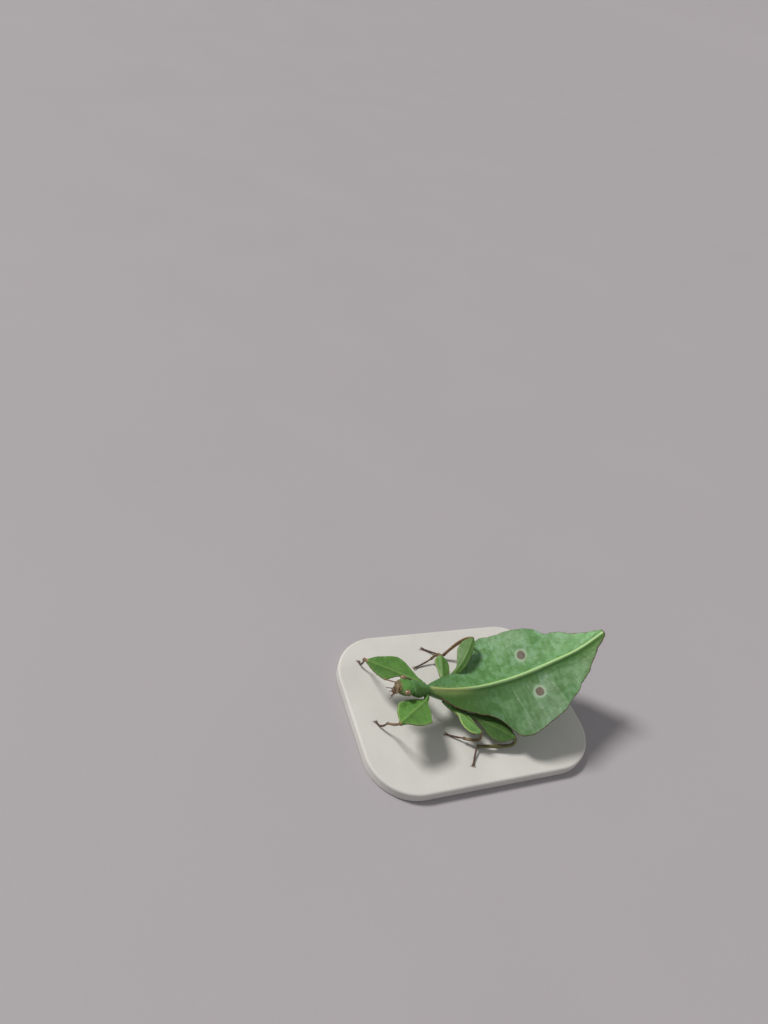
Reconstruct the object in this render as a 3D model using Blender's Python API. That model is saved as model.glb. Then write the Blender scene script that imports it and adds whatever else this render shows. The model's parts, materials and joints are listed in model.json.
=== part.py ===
"""Leaf insect nymph, female, life size, standing with its abdomen curled up, on a flat base.

One unit is a metre. Lengths named below are in millimetres. +X runs to the tail, +Y to the
insect's right, +Z up, and the origin is the middle of the base's underside.
"""
import math

import bpy
import numpy as np

MM = 0.001

# Where things stand
SHIFT = np.array([-5.0, -1.3, 8.5])
FEET_LEVEL = -6.0
GAP = 0.28

# Base plate
BASE_LENGTH = 46.0
BASE_WIDTH = 34.0
BASE_TOP = 2.2
BASE_CORNER = 9.0
BASE_BEVEL = 0.4
BASE_STEPS = 24
BEVEL_STEPS = 3

# Line of the back, by distance from the front of the head
BODY_LENGTH = 45.0
BACK_AT = [0, 7, 12.5, 20, 28, 36, 45]
BACK_PITCH = [-15.0, -20.4, -8.9, 8.3, 22.4, 33.1, 43.0]
YAW_AT = [0, 7, 12.5, 45]
BACK_YAW = [-5.1, -3.5, 0, 6.1]
BACK_ORIGIN = 12.5

# Half width of the thorax and abdomen, and what each side falls short of it
WIDTH_AT = [7, 9.5, 12.5, 15, 17.2, 19, 20.3, 20.9, 21.8, 24, 28, 32, 34.7, 35.5, 36,
            37.5, 38.9, 39.4, 40.8, 41.9, 42.3, 43.4, 44.4, 45]
WIDTH = [0.88, 1.96, 3.45, 4.3, 5.5, 6.96, 8.5, 9.6, 10.55, 11.25, 10.4, 8.95, 7.65, 7.05, 6.5,
         5.65, 4.6, 4.1, 3.25, 2.55, 2.15, 1.5, 0.85, 0.4]
TRIM_RIGHT_AT = [7, 9, 12, 14, 16, 22.5, 25.5, 29.5, 33.5, 34.5, 35.3, 36.7, 38, 41.5, 43.5, 45]
TRIM_RIGHT = [0, -0.3, -0.25, 0.02, 0.15, 0, 0.5, 0.05, 0.1, 0.6, 1.05, 0.3, 0.2, 0.35, 0.05, 0]
TRIM_LEFT_AT = [7, 9.5, 10.5, 12, 14.3, 16.8, 18.1, 20.3, 22.3, 27, 31.3, 33.2, 37.5, 39.1, 41.8, 43.6]
TRIM_LEFT = [0, 0.4, 0.12, -0.1, -0.3, -0.05, 0.6, 1.0, 0, 0.08, -0.3, 0.2, 0.15, 0, 0.28, 0]
ROOF_AT = [7, 20, 32, 45]
ROOF_SLOPE = [9.9, 9.9, -0.8, 25.0]

# Raised midrib, the keel it stands on, and thickness below
RIB_AT = [3, 7, 12, 36, 45]
RIB_HEIGHT = [0.1, 0.25, 0.45, 0.42, 0.2]
RIB_HALF = 0.34
KEEL_AT = [7, 14, 34, 42, 45]
KEEL_HEIGHT = [0.1, 0.6, 0.75, 0.3, 0.05]
KEEL_HALF = 1.5
BODY_AT = [7, 10, 13, 24, 34, 42, 45]
BODY_DEPTH = [1.7, 2.1, 2.2, 1.9, 1.5, 0.9, 0.6]
BODY_HALF = 1.7
FLAP_THICK = 0.56
RIM_WIDTH = 0.22
RIB_COLUMNS = [0.12, 0.3, 0.62, 1.2, 2.1]

# Head and pronotum sections: place, half width, top below the back line, depth
HEAD = [(0.15, 0.7, 0.8, 0.8), (0.5, 1.1, 0.48, 1.35), (1.0, 1.38, 0.2, 1.8),
        (1.6, 1.52, 0.04, 2.05), (2.3, 1.58, 0.0, 2.1), (2.9, 1.52, 0.02, 2.0),
        (3.4, 1.28, 0.12, 1.7)]
PRONOTUM = [(3.68, 1.45, 0.12, 1.6), (4.0, 1.64, 0.02, 1.8), (4.7, 1.68, 0.0, 1.9),
            (5.4, 1.5, 0.05, 1.9), (6.1, 1.2, 0.03, 1.8), (6.86, 0.98, 0.02, 1.65)]
EYE_AT = 1.8
EYE_OUT = 1.57
EYE_DOWN = 0.42
EYE_RADIUS = (0.62, 0.52, 0.5)

# Antennae, jaws and feelers
ANTENNA_AT = 0.35
ANTENNA_ROOT = (0.65, 0.5, 0.66)
ANTENNA_AIM = {1: (1.0, 0.5, -0.35), -1: (0.56, 0.76, 0.33)}
ANTENNA_LENGTH = 2.2
ANTENNA_RADIUS = 0.27
JAWS_AT = 0.6
JAWS_DOWN = 2.24
JAWS = [(0.0, 0.7, 0.42), (0.3, 0.72, 0.5), (0.65, 0.5, 0.4), (0.85, 0.3, 0.24)]
FEELERS = [(1.25, 0.55, 0.45), (0.9, 0.2, 0.2)]
FEELER_RADIUS = [0.24, 0.23, 0.25, 0.22, 0.2]

# Legs: root, hip, knee, shin, ankle and claw points, the normal of the lobes, and lobe widths
LOBE_AT = [0, 0.05, 0.12, 0.25, 0.38, 0.5, 0.62, 0.75, 0.87, 0.96, 1.0]
LEGS = {
    "fore_right": dict(
        side=1, body="pronotum", root=(-5.95, 0.75, 0.6), hip=(-6.1, 2.1, 0.5), bend=(0, 0, 0),
        knee=(-14.94, 7.58, 1.0), shin=[(-14.5, 9.4, -0.8)], ankle=(-13.39, 10.85, -3.6),
        claw=(-13.33, 12.61, -5.7), up=(0, -0.3, 1),
        rear=[0.42, 0.6, 1.05, 2.0, 2.9, 3.25, 2.9, 2.25, 1.6, 0.65, 0.38],
        front=[0.42, 0.4, 0.38, 0.38, 0.5, 1.3, 2.05, 1.75, 1.2, 0.6, 0.38]),
    "fore_left": dict(
        side=-1, body="pronotum", root=(-6.15, -0.55, 0.6), hip=(-6.5, -1.8, 0.4), bend=(0, 0, 0),
        knee=(-13.88, -6.67, 2.5), shin=[(-13.9, -6.15, 0.5)], ankle=(-13.38, -2.99, -3.2),
        claw=(-14.06, -0.74, -5.7), up=(0, 0.1, 1),
        rear=[0.42, 0.8, 1.55, 2.75, 3.5, 3.2, 2.75, 2.0, 1.05, 0.55, 0.38],
        front=[0.42, 0.6, 1.1, 2.2, 2.95, 3.1, 2.6, 2.0, 1.1, 0.45, 0.38]),
    "mid_right": dict(
        side=1, body="mesothorax", root=(-1.9, 1.1, -1.5), hip=(-0.2, 3.35, -2.2), bend=(0, 0, 0.2),
        knee=(1.31, 8.58, -1.5), shin=[(1.7, 9.9, -2.6)], ankle=(1.37, 10.8, -5.2),
        claw=(-2.27, 9.8, -5.7), up=(0, 0, 1),
        rear=[0.4, 0.4, 0.42, 0.55, 0.95, 1.4, 1.58, 1.5, 1.25, 0.75, 0.42],
        front=[0.4, 0.4, 0.4, 0.45, 0.6, 0.85, 1.1, 1.25, 1.1, 0.7, 0.42]),
    "mid_left": dict(
        side=-1, body="mesothorax", root=(-1.9, -1.1, -1.5), hip=(-0.5, -2.5, -2.3), bend=(0, 0, 0.2),
        knee=(2.72, -8.3, -2.0), shin=[(2.85, -8.55, -3.7)], ankle=(0.88, -6.98, -5.2),
        claw=(-1.52, -5.24, -5.7), up=(0, 0.1, 1),
        rear=[0.4, 0.5, 0.7, 0.95, 1.15, 1.12, 0.98, 0.75, 0.52, 0.42, 0.4],
        front=[0.4, 0.4, 0.4, 0.58, 1.05, 1.42, 1.56, 1.52, 1.15, 0.65, 0.42]),
    "hind_right": dict(
        side=1, body="metathorax", root=(0.4, 1.4, -1.9), hip=(1.45, 4.3, -2.5), bend=(0.6, 0.25, 1.45),
        knee=(7.51, 9.49, 2.0), shin=[(7.1, 11.2, -0.6)], ankle=(4.34, 11.39, -5.3),
        claw=(0.92, 14.11, -5.7), up=(0, 0.15, 1),
        rear=[0.4, 0.4, 0.42, 1.1, 1.3, 1.24, 1.14, 0.98, 0.86, 0.5, 0.38],
        front=[0.4, 0.4, 0.4, 0.75, 1.33, 1.75, 1.78, 1.55, 1.1, 0.5, 0.38]),
    "hind_left": dict(
        side=-1, body="metathorax", root=(0.4, -1.4, -1.9), hip=(2.05, -3.8, -2.75), bend=(0.3, 0, 0),
        knee=(9.8, -9.6, -3.2), shin=[(9.75, -10.3, -4.4), (7.9, -10.05, -5.05)],
        ankle=(2.87, -9.07, -5.2), claw=(1.17, -11.88, -5.7), up=(0, -0.3, 1),
        rear=[0.4, 0.45, 0.7, 1.35, 1.8, 1.95, 1.9, 1.75, 1.4, 0.7, 0.38],
        front=[0.4, 0.4, 0.4, 0.65, 1.3, 1.85, 2.1, 1.9, 1.2, 0.45, 0.38]),
}
SOCKETS = {"pronotum": ["pronotum", "mesothorax"], "mesothorax": ["mesothorax", "metathorax"],
           "metathorax": ["metathorax", "abdomen_front"]}
SHAFT = 0.42
LOBE_THICK = 0.5
TIBIA = 0.33
TARSUS = 0.28
COXA = 0.5
SOCKET_ROOM = 0.27
TARSUS_HEIGHT = 0.2
KNOB = 0.03

COLOURS = {
    "body_green": (0.16, 0.36, 0.10), "leaf_green": (0.22, 0.48, 0.16),
    "lobe_green": (0.20, 0.50, 0.12), "leg_brown": (0.20, 0.13, 0.05),
    "eye_tan": (0.50, 0.33, 0.18), "mouth_brown": (0.12, 0.06, 0.03),
    "base_white": (0.80, 0.79, 0.76),
}


def clear_scene():
    for thing in list(bpy.data.objects):
        bpy.data.objects.remove(thing, do_unlink=True)


def smooth(at, values, x):
    """Monotone cubic through the points (at, values), read at x."""
    at = np.asarray(at, float)
    values = np.asarray(values, float)
    step = np.diff(at)
    rise = np.diff(values) / step
    slope = np.zeros(len(at))
    for i in range(1, len(at) - 1):
        if rise[i - 1] * rise[i] > 0:
            a = 2 * step[i] + step[i - 1]
            b = step[i] + 2 * step[i - 1]
            slope[i] = (a + b) / (a / rise[i - 1] + b / rise[i])
    slope[0] = rise[0]
    slope[-1] = rise[-1]
    x = np.clip(np.asarray(x, float), at[0], at[-1])
    i = np.clip(np.searchsorted(at, x, side="right") - 1, 0, len(at) - 2)
    t = (x - at[i]) / step[i]
    whole = values[i] * (1 + 2 * t) * (1 - t) ** 2 + values[i + 1] * t * t * (3 - 2 * t)
    bend = slope[i] * t * (1 - t) ** 2 + slope[i + 1] * t * t * (t - 1)
    return whole + bend * step[i]


def back_line():
    """Places along the back every 0.25 mm: positions, and the along, right and up directions."""
    s = np.linspace(0, BODY_LENGTH, 181)
    pitch = np.radians(np.interp(s, BACK_AT, BACK_PITCH))
    yaw = np.radians(np.interp(s, YAW_AT, BACK_YAW))
    along = np.stack([np.cos(pitch) * np.cos(yaw), np.cos(pitch) * np.sin(yaw), np.sin(pitch)], 1)
    right = np.stack([-np.sin(yaw), np.cos(yaw), 0 * yaw], 1)
    up = np.cross(along, right)
    place = np.zeros((len(s), 3))
    place[1:] = np.cumsum((along[1:] + along[:-1]) / 2 * (s[1] - s[0]), 0)
    place -= place[np.argmin(abs(s - BACK_ORIGIN))]
    return s, place, along, right, up


BACK = back_line()


def back_frame(s):
    at = BACK[0]
    return [np.array([np.interp(s, at, part[:, k]) for k in range(3)]) for part in BACK[1:]]


def unit(v):
    v = np.asarray(v, float)
    return v / np.linalg.norm(v)


def material(name):
    made = bpy.data.materials.new(name)
    made.use_nodes = True
    shader = made.node_tree.nodes["Principled BSDF"]
    colour = COLOURS[name.split("-")[0]]
    shader.inputs["Base Color"].default_value = (*colour, 1)
    shader.inputs["Roughness"].default_value = 0.45
    made.diffuse_color = (*colour, 1)
    return made


def make(name, points, faces, colour, rounded=True):
    """One closed mesh object from points in millimetres."""
    mesh = bpy.data.meshes.new(name)
    placed = (np.asarray(points, float) + SHIFT) * MM
    middle = placed.mean(0)
    placed = placed - middle
    mesh.from_pydata([tuple(p) for p in placed], [], [tuple(int(i) for i in f) for f in faces])
    mesh.update()
    made = bpy.data.objects.new(name, mesh)
    made.location = middle
    bpy.context.scene.collection.objects.link(made)
    made.data.materials.append(material(colour + "-" + name))
    for face in mesh.polygons:
        face.use_smooth = rounded
    return made


def ring_sides(count, size):
    """Faces between rings of one size, each quad split the same way on both halves."""
    faces = []
    half = size // 2
    for i in range(count - 1):
        for j in range(size):
            k = (j + 1) % size
            a, b = i * size + j, i * size + k
            c, d = (i + 1) * size + k, (i + 1) * size + j
            if j < half:
                faces += [(a, b, c), (a, c, d)]
            else:
                faces += [(a, b, d), (b, c, d)]
    return faces


def blade(name, rings, colour):
    """A flat closed piece from rings laid out as rim, top points, rim, bottom points backwards."""
    size = len(rings[0])
    count = len(rings)
    half = size // 2
    points = np.concatenate(rings)
    faces = ring_sides(count, size)
    for i, turned in ((0, True), (count - 1, False)):
        o = i * size
        for j in range(half):
            a, b = o + j, o + j + 1
            c, d = o + (size - j - 1) % size, o + (size - j) % size
            strip = [(a, d, c), (a, c, b)] if turned else [(a, c, d), (a, b, c)]
            for f in strip:
                if len(set(f)) == 3:
                    faces.append(f)
    return finish(name, points, faces, colour)


def finish(name, points, faces, colour):
    """Makes the object, turned to face outwards."""
    p = np.asarray(points, float)
    f = np.asarray(faces, int)
    volume = np.einsum("ij,ij->i", p[f[:, 0]], np.cross(p[f[:, 1]], p[f[:, 2]])).sum()
    if volume < 0:
        f = f[:, ::-1]
    return make(name, p, f, colour)


def tube(name, rings, colour):
    """A round closed piece from rings, with a point in the middle of each end."""
    size = len(rings[0])
    points = np.concatenate([*rings, [rings[0].mean(0)], [rings[-1].mean(0)]])
    faces = ring_sides(len(rings), size)
    first, last = len(points) - 2, len(points) - 1
    o = (len(rings) - 1) * size
    for j in range(size):
        k = (j + 1) % size
        faces.append((first, k, j))
        faces.append((last, o + j, o + k))
    return finish(name, points, faces, colour)


def tube_rings(path, radii, sides, ball_end=False, end_dir=None):
    """Rings round a path, with an end rounded where asked."""
    path = [np.asarray(p, float) for p in path]
    dirs = [unit(b - a) for a, b in zip(path[:-1], path[1:])]
    tangents = [dirs[0]] + [unit(a + b) for a, b in zip(dirs[:-1], dirs[1:])] + [dirs[-1]]
    if end_dir is not None:
        tangents[-1] = unit(end_dir)
    side = np.cross(tangents[0], (0, 0, 1))
    if np.linalg.norm(side) < 0.2:
        side = np.cross(tangents[0], (0, 1, 0))
    side = unit(side)
    turn = [2 * math.pi * j / sides for j in range(sides)]
    rings = []
    for i, (p, t, r) in enumerate(zip(path, tangents, radii)):
        side = unit(side - t * (side @ t))
        other = np.cross(t, side)
        circle = np.array([math.cos(a) * side + math.sin(a) * other for a in turn])
        rings.append(p + circle * r)
        if i == len(path) - 1 and ball_end:
            rings += [p + t * r * 0.5 + circle * r * 0.82, p + t * r * 0.9 + circle * r * 0.35]
    return rings


def curve(points, count):
    """Points along a smooth curve through three or four given points."""
    p = [np.asarray(q, float) for q in points]
    span = [0.0]
    for a, b in zip(p[:-1], p[1:]):
        span.append(span[-1] + np.linalg.norm(b - a) ** 0.5)
    out = []
    for x in np.linspace(0, span[-1], count):
        total = np.zeros(3)
        for i, q in enumerate(p):
            weight = 1.0
            for j in range(len(p)):
                if j != i:
                    weight *= (x - span[j]) / (span[i] - span[j])
            total = total + weight * q
        out.append(total)
    return out


# Thorax and abdomen


def body_heights(s, u, w):
    """Top and bottom of the body at lateral places u, measured from the back line."""
    slope = math.radians(np.interp(s, ROOF_AT, ROOF_SLOPE))
    rib = np.interp(s, RIB_AT, RIB_HEIGHT)
    keel = np.interp(s, KEEL_AT, KEEL_HEIGHT) * (1 - math.exp(-((w / KEEL_HALF) ** 2)))
    edge = w * math.sin(slope)
    fall = (edge - rib - keel) / w
    top = rib * (np.exp(-((u / RIB_HALF) ** 2)) - 1)
    top = top - keel * (1 - np.exp(-((u / KEEL_HALF) ** 2)))
    top = top - fall * abs(u)
    depth = smooth(BODY_AT, BODY_DEPTH, s)
    thick = FLAP_THICK + (depth - FLAP_THICK) * np.exp(-((u / BODY_HALF) ** 2))
    return top, top - thick


def margins(s):
    """Half widths of the left and right side."""
    w = float(smooth(WIDTH_AT, WIDTH, s))
    left = w - float(smooth(TRIM_LEFT_AT, TRIM_LEFT, s))
    return left, w - float(smooth(TRIM_RIGHT_AT, TRIM_RIGHT, s))


def columns_to(w, columns):
    """Places from the rib out to the rim, close together at the rib."""
    inner = w - min(RIM_WIDTH, 0.3 * w)
    if w < RIB_COLUMNS[-1] + RIM_WIDTH:
        return np.linspace(0, inner, columns + 1)[1:]
    fine = np.array(RIB_COLUMNS) * min(1.0, w / 4.5)
    rest = np.linspace(fine[-1], inner, columns - 4)[1:]
    return np.concatenate([fine, rest])


def body_ring(s, columns):
    place, along, right, up = back_frame(s)
    w = float(smooth(WIDTH_AT, WIDTH, s))
    near, far = margins(s)
    u = np.concatenate([-columns_to(near, columns)[::-1], [0.0], columns_to(far, columns)])
    top, bottom = body_heights(s, u, w)
    high = [place + right * a + up * h for a, h in zip(u, top)]
    low = [place + right * a + up * h for a, h in zip(u, bottom)]
    left_rim = place - right * near + up * (top[0] + bottom[0]) / 2
    right_rim = place + right * far + up * (top[-1] + bottom[-1]) / 2
    return np.array([left_rim, *high, right_rim, *low[::-1]])


def body_length(name, first, last, step, columns, colour):
    count = max(2, int(round((last - first) / step)))
    rings = [body_ring(s, columns) for s in np.linspace(first, last, count + 1)]
    return blade(name, rings, colour)


def oval_ring(s, w, down, depth, sides=20):
    place, along, right, up = back_frame(s)
    out = []
    for j in range(sides):
        a = 2 * math.pi * j / sides
        x = math.copysign(abs(math.cos(a)) ** 0.85, math.cos(a)) * w
        z = math.copysign(abs(math.sin(a)) ** 0.85, math.sin(a)) * depth / 2
        out.append(place + right * x + up * (z - down - depth / 2))
    return np.array(out)


def oval_length(name, sections, colour):
    return tube(name, [oval_ring(*section) for section in sections], colour)


def ball(name, centre, radii, axes, colour, rows=8, sides=14):
    rings = []
    for i in range(1, rows):
        a = math.pi * i / rows
        ring = []
        for j in range(sides):
            b = 2 * math.pi * j / sides
            v = (math.sin(a) * math.cos(b) * radii[0] * axes[0]
                 + math.sin(a) * math.sin(b) * radii[2] * axes[2]
                 - math.cos(a) * radii[1] * axes[1])
            ring.append(centre + v)
        rings.append(np.array(ring))
    points = np.concatenate([*rings, [centre - radii[1] * axes[1]], [centre + radii[1] * axes[1]]])
    faces = ring_sides(len(rings), sides)
    first, last = len(points) - 2, len(points) - 1
    o = (len(rings) - 1) * sides
    for j in range(sides):
        k = (j + 1) % sides
        faces.append((first, k, j))
        faces.append((last, o + j, o + k))
    return finish(name, points, faces, colour)


def cut(body, cutters):
    """Takes the cutters out of the body and removes them."""
    group = bpy.data.collections.new("cutters")
    bpy.context.scene.collection.children.link(group)
    for cutter in cutters:
        for old in list(cutter.users_collection):
            old.objects.unlink(cutter)
        group.objects.link(cutter)
        cutter.hide_render = True
        cutter.display_type = "WIRE"
    combine(body, group, "DIFFERENCE")


def join(body, others):
    """Fuses the others into the body and removes them."""
    group = bpy.data.collections.new("pieces")
    bpy.context.scene.collection.children.link(group)
    for other in others:
        for old in list(other.users_collection):
            old.objects.unlink(other)
        group.objects.link(other)
    combine(body, group, "UNION")


def combine(body, group, operation):
    tool = body.modifiers.new("combine", "BOOLEAN")
    tool.operation = operation
    tool.operand_type = "COLLECTION"
    tool.collection = group
    tool.solver = "EXACT"
    bpy.context.view_layer.update()
    graph = bpy.context.evaluated_depsgraph_get()
    mesh = bpy.data.meshes.new_from_object(body.evaluated_get(graph))
    kept = body.data.materials[0]
    body.modifiers.clear()
    body.data = mesh
    mesh.materials.clear()
    mesh.materials.append(kept)
    for thing in list(group.objects):
        bpy.data.objects.remove(thing, do_unlink=True)
    bpy.data.collections.remove(group)
    largest(body)
    for face in body.data.polygons:
        face.material_index = 0
        face.use_smooth = True


def largest(body):
    """Keeps only the largest closed surface of the body."""
    mesh = body.data
    parent = list(range(len(mesh.vertices)))

    def root(i):
        while parent[i] != i:
            parent[i] = parent[parent[i]]
            i = parent[i]
        return i

    for edge in mesh.edges:
        a, b = root(edge.vertices[0]), root(edge.vertices[1])
        if a != b:
            parent[a] = b
    groups = {}
    for face in mesh.polygons:
        groups.setdefault(root(face.vertices[0]), []).append(face.index)
    if len(groups) < 2:
        return
    points = np.array([v.co[:] for v in mesh.vertices])
    best = max(groups.values(), key=lambda g: span_of(mesh, points, g))
    keep = set(best)
    faces = [tuple(f.vertices) for f in mesh.polygons if f.index in keep]
    used = sorted({i for f in faces for i in f})
    number = {old: new for new, old in enumerate(used)}
    fresh = bpy.data.meshes.new(mesh.name)
    fresh.from_pydata([tuple(points[i]) for i in used], [], [tuple(number[i] for i in f) for f in faces])
    fresh.materials.append(mesh.materials[0])
    body.data = fresh


def span_of(mesh, points, faces):
    used = [i for f in faces for i in mesh.polygons[f].vertices]
    box = points[used]
    return float(np.prod(box.max(0) - box.min(0)))


# Legs


def leg_axes(leg):
    hip = np.array(leg["hip"], float)
    knee = np.array(leg["knee"], float)
    along = unit(knee - hip)
    up = np.array(leg["up"], float)
    up = unit(up - along * (up @ along))
    rear = leg["side"] * np.cross(along, up)
    return hip, knee, along, up, rear


def femur(name, leg, colour):
    hip, knee, along, up, rear = leg_axes(leg)
    length = np.linalg.norm(knee - hip)
    at = np.concatenate([np.linspace(0, 0.97, 15), [1.0, 1.025]])
    rings = []
    bend = np.array(leg["bend"], float)
    for t in at:
        back = float(smooth(LOBE_AT, leg["rear"], min(t, 1)))
        fore = float(smooth(LOBE_AT, leg["front"], min(t, 1)))
        scale = 1.0 if t <= 1 else 0.55
        shaft = SHAFT * scale
        half = min(LOBE_THICK / 2, shaft)
        v = np.concatenate([
            -fore * scale + np.array([0.14, 0.5, 0.8]) * max(fore * scale - 0.3, 0.05),
            [-0.2 * scale, 0.0, 0.2 * scale],
            back * scale - np.array([0.8, 0.5, 0.14]) * max(back * scale - 0.3, 0.05)])
        high = half + (shaft - half) * np.exp(-((v / 0.5) ** 2))
        if t > 1:
            high = high * 0.8
        o = hip + along * (t * length) + bend * math.sin(math.pi * min(t, 1) ** 0.6)
        top = [o + rear * a + up * h for a, h in zip(v, high)]
        low = [o + rear * a - up * h for a, h in zip(v, high)]
        ring = [o - rear * fore * scale, *top, o + rear * back * scale, *low[::-1]]
        rings.append(np.array(ring))
    return blade(name, rings, colour)


def tibia(name, leg, colour):
    knee = np.array(leg["knee"], float)
    line = curve([knee, *leg["shin"], leg["ankle"]], 15)
    start = unit(line[1] - line[0])
    line = [p for p in line if np.linalg.norm(p - knee) > SHAFT + GAP + 0.35]
    first = knee + start * (SHAFT + GAP + 0.06)
    line = [first] + line[:-1] + [np.array(leg["ankle"], float)]
    radii = [TIBIA * (1.1 - 0.2 * i / (len(line) - 1)) for i in range(len(line))]
    return tube(name, tube_rings(line, radii, 8, ball_end=True), colour)


def tarsus(name, leg, colour):
    ankle = np.array(leg["ankle"], float)
    claw = np.array(leg["claw"], float)
    reach = np.linalg.norm(claw - ankle)
    level = FEET_LEVEL + TARSUS_HEIGHT
    mid = ankle + (claw - ankle) * 0.5
    mid[2] = max(level, mid[2] - 0.25 * abs(ankle[2] - level))
    tip = claw.copy()
    tip[2] = level
    line = curve([ankle, mid, tip], 13)
    start = unit(line[1] - line[0])
    line = [p for p in line if np.linalg.norm(p - ankle) > TIBIA + GAP + 0.2]
    line = [ankle + start * (TIBIA * 0.9 + GAP)] + line
    for p in line:
        p[2] = max(p[2], level)
    radii = [TARSUS + KNOB * math.cos(i * math.pi) for i in range(len(line))]
    rings = tube_rings(line, radii, 8, ball_end=True)
    for ring in rings:
        ring[:, 2] = np.maximum(ring[:, 2], FEET_LEVEL)
    return tube(name, rings, colour)


def coxa(name, leg, colour, grow=0.0):
    hip, knee, along, up, rear = leg_axes(leg)
    root = np.array(leg["root"], float)
    end = hip - along * GAP
    mid = (root + end) / 2 - along * 0.3
    line = curve([root, mid, end], 6)
    radii = [COXA, COXA, COXA * 0.96, COXA * 0.9, COXA * 0.86, COXA * 0.84]
    if grow:
        first = unit(line[1] - line[0])
        line = [line[0] - first * grow] + line[1:]
        radii = [r + grow for r in radii]
    rings = tube_rings(line, radii, 10, end_dir=along)
    return tube(name, rings, colour)


def antenna(name, side, colour):
    place, along, right, up = back_frame(ANTENNA_AT)
    ahead, out, down = ANTENNA_ROOT
    root = place + right * side * out - up * down - along * ahead
    forward, outward, upward = ANTENNA_AIM[side]
    aim = unit(-along * forward + right * side * outward + up * upward)
    line = [root + aim * d - up * 0.06 * d * d for d in np.linspace(0, ANTENNA_LENGTH, 12)]
    radii = [ANTENNA_RADIUS + KNOB * math.cos(i * math.pi) - 0.004 * i for i in range(12)]
    return tube(name, tube_rings(line, radii, 8, ball_end=True), colour)


def mouth(name, colour):
    """The jaws below the front of the head, and two pairs of feelers beside them."""
    place, along, right, up = back_frame(JAWS_AT)
    rings = []
    for down, w, h in JAWS:
        o = place - up * (JAWS_DOWN + down) - along * (0.1 * down)
        ring = []
        for j in range(12):
            a = 2 * math.pi * j / 12
            ring.append(o + right * w * math.cos(a) + along * h * math.sin(a))
        rings.append(np.array(ring))
    body = tube(name, rings, colour)
    feelers = []
    for side in (-1, 1):
        for reach, spread, out in FEELERS:
            o = place - up * (JAWS_DOWN + 0.31) + right * side * out - along * 0.1
            aim = unit(right * side * spread - up * 0.6 - along * 0.6)
            line = [o + aim * d for d in np.linspace(0, reach, 5)]
            rings = tube_rings(line, FEELER_RADIUS, 6, ball_end=True)
            feelers.append(tube("feeler", rings, colour))
    join(body, feelers)
    return body


def base_plate(name, colour):
    x, y, r = BASE_LENGTH / 2, BASE_WIDTH / 2, BASE_CORNER
    turns = [math.radians(90 * k / BEVEL_STEPS) for k in range(BEVEL_STEPS + 1)]
    edge = [(BASE_BEVEL * (1 - math.cos(a)), BASE_BEVEL * (1 - math.sin(a))) for a in turns]
    profile = edge + [(BASE_TOP - z, inset) for z, inset in edge[::-1]]
    rings = []
    for z, inset in profile:
        ring = []
        for corner in range(4):
            cx = (x - r) * (1 if corner in (0, 3) else -1)
            cy = (y - r) * (1 if corner in (0, 1) else -1)
            for k in range(BASE_STEPS + 1):
                a = math.radians(90 * (corner + k / BASE_STEPS))
                ring.append((cx + (r - inset) * math.cos(a), cy + (r - inset) * math.sin(a), z))
        rings.append(np.array(ring) - SHIFT)
    made = tube(name, rings, colour)
    for face in made.data.polygons:
        face.use_smooth = False
    return made


def gather():
    """Parents every piece to one empty at the origin."""
    holder = bpy.data.objects.new("leaf_insect", None)
    holder.empty_display_size = 5 * MM
    bpy.context.scene.collection.objects.link(holder)
    for thing in list(bpy.context.scene.collection.objects):
        if thing.type == "MESH":
            thing.parent = holder


def main():
    clear_scene()
    base_plate("stand_base", "base_white")
    head = oval_length("head", HEAD, "body_green")
    bodies = {
        "pronotum": oval_length("pronotum", PRONOTUM, "body_green"),
        "mesothorax": body_length("mesothorax", 7.14, 11.36, 0.6, 8, "body_green"),
        "metathorax": body_length("metathorax", 11.64, 13.86, 0.6, 8, "body_green"),
    }
    bodies["abdomen_front"] = body_length("abdomen_front", 14.14, 23.86, 0.7, 11, "leaf_green")
    body_length("abdomen_middle", 24.14, 35.36, 0.75, 11, "leaf_green")
    body_length("abdomen_tip", 35.64, 45.0, 0.6, 11, "leaf_green")

    # Eyes in their sockets
    place, along, right, up = back_frame(EYE_AT)
    sockets = []
    for side, label in ((1, "right"), (-1, "left")):
        centre = place + right * side * EYE_OUT - up * EYE_DOWN
        out = unit(right * side + up * 0.2 - along * 0.15)
        length = unit(along - out * (along @ out))
        axes = (length, out, np.cross(length, out))
        ball("eye_" + label, centre, EYE_RADIUS, axes, "eye_tan")
        wide = [r + GAP for r in EYE_RADIUS]
        sockets.append(ball("socket", centre, wide, axes, "eye_tan"))
    cut(head, sockets)
    for side, label in ((1, "right"), (-1, "left")):
        antenna("antenna_" + label, side, "mouth_brown")
    mouth("mouthparts", "mouth_brown")

    # Legs, each set in a socket of its body piece
    holes = {}
    for label, leg in LEGS.items():
        coxa("coxa_" + label, leg, "body_green")
        for piece in SOCKETS[leg["body"]]:
            holes.setdefault(piece, []).append(coxa("hole", leg, "body_green", SOCKET_ROOM))
        femur("femur_" + label, leg, "lobe_green")
        tibia("tibia_" + label, leg, "leg_brown")
        tarsus("tarsus_" + label, leg, "leg_brown")
    for body, cutters in holes.items():
        cut(bodies[body], cutters)
    gather()


main()
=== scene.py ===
"""Leaf insect nymph, life size: its skin, eyes, feelers, jaws, claws, base and stage.

Shapes are worked out in millimetres along the back line and the legs, and placed in metres.
"""
import json
import math
from types import SimpleNamespace

import bpy
import numpy as np
from bpy.props import FloatProperty, FloatVectorProperty, PointerProperty
from mathutils import Euler, Matrix, Vector
from mathutils.kdtree import KDTree

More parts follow.
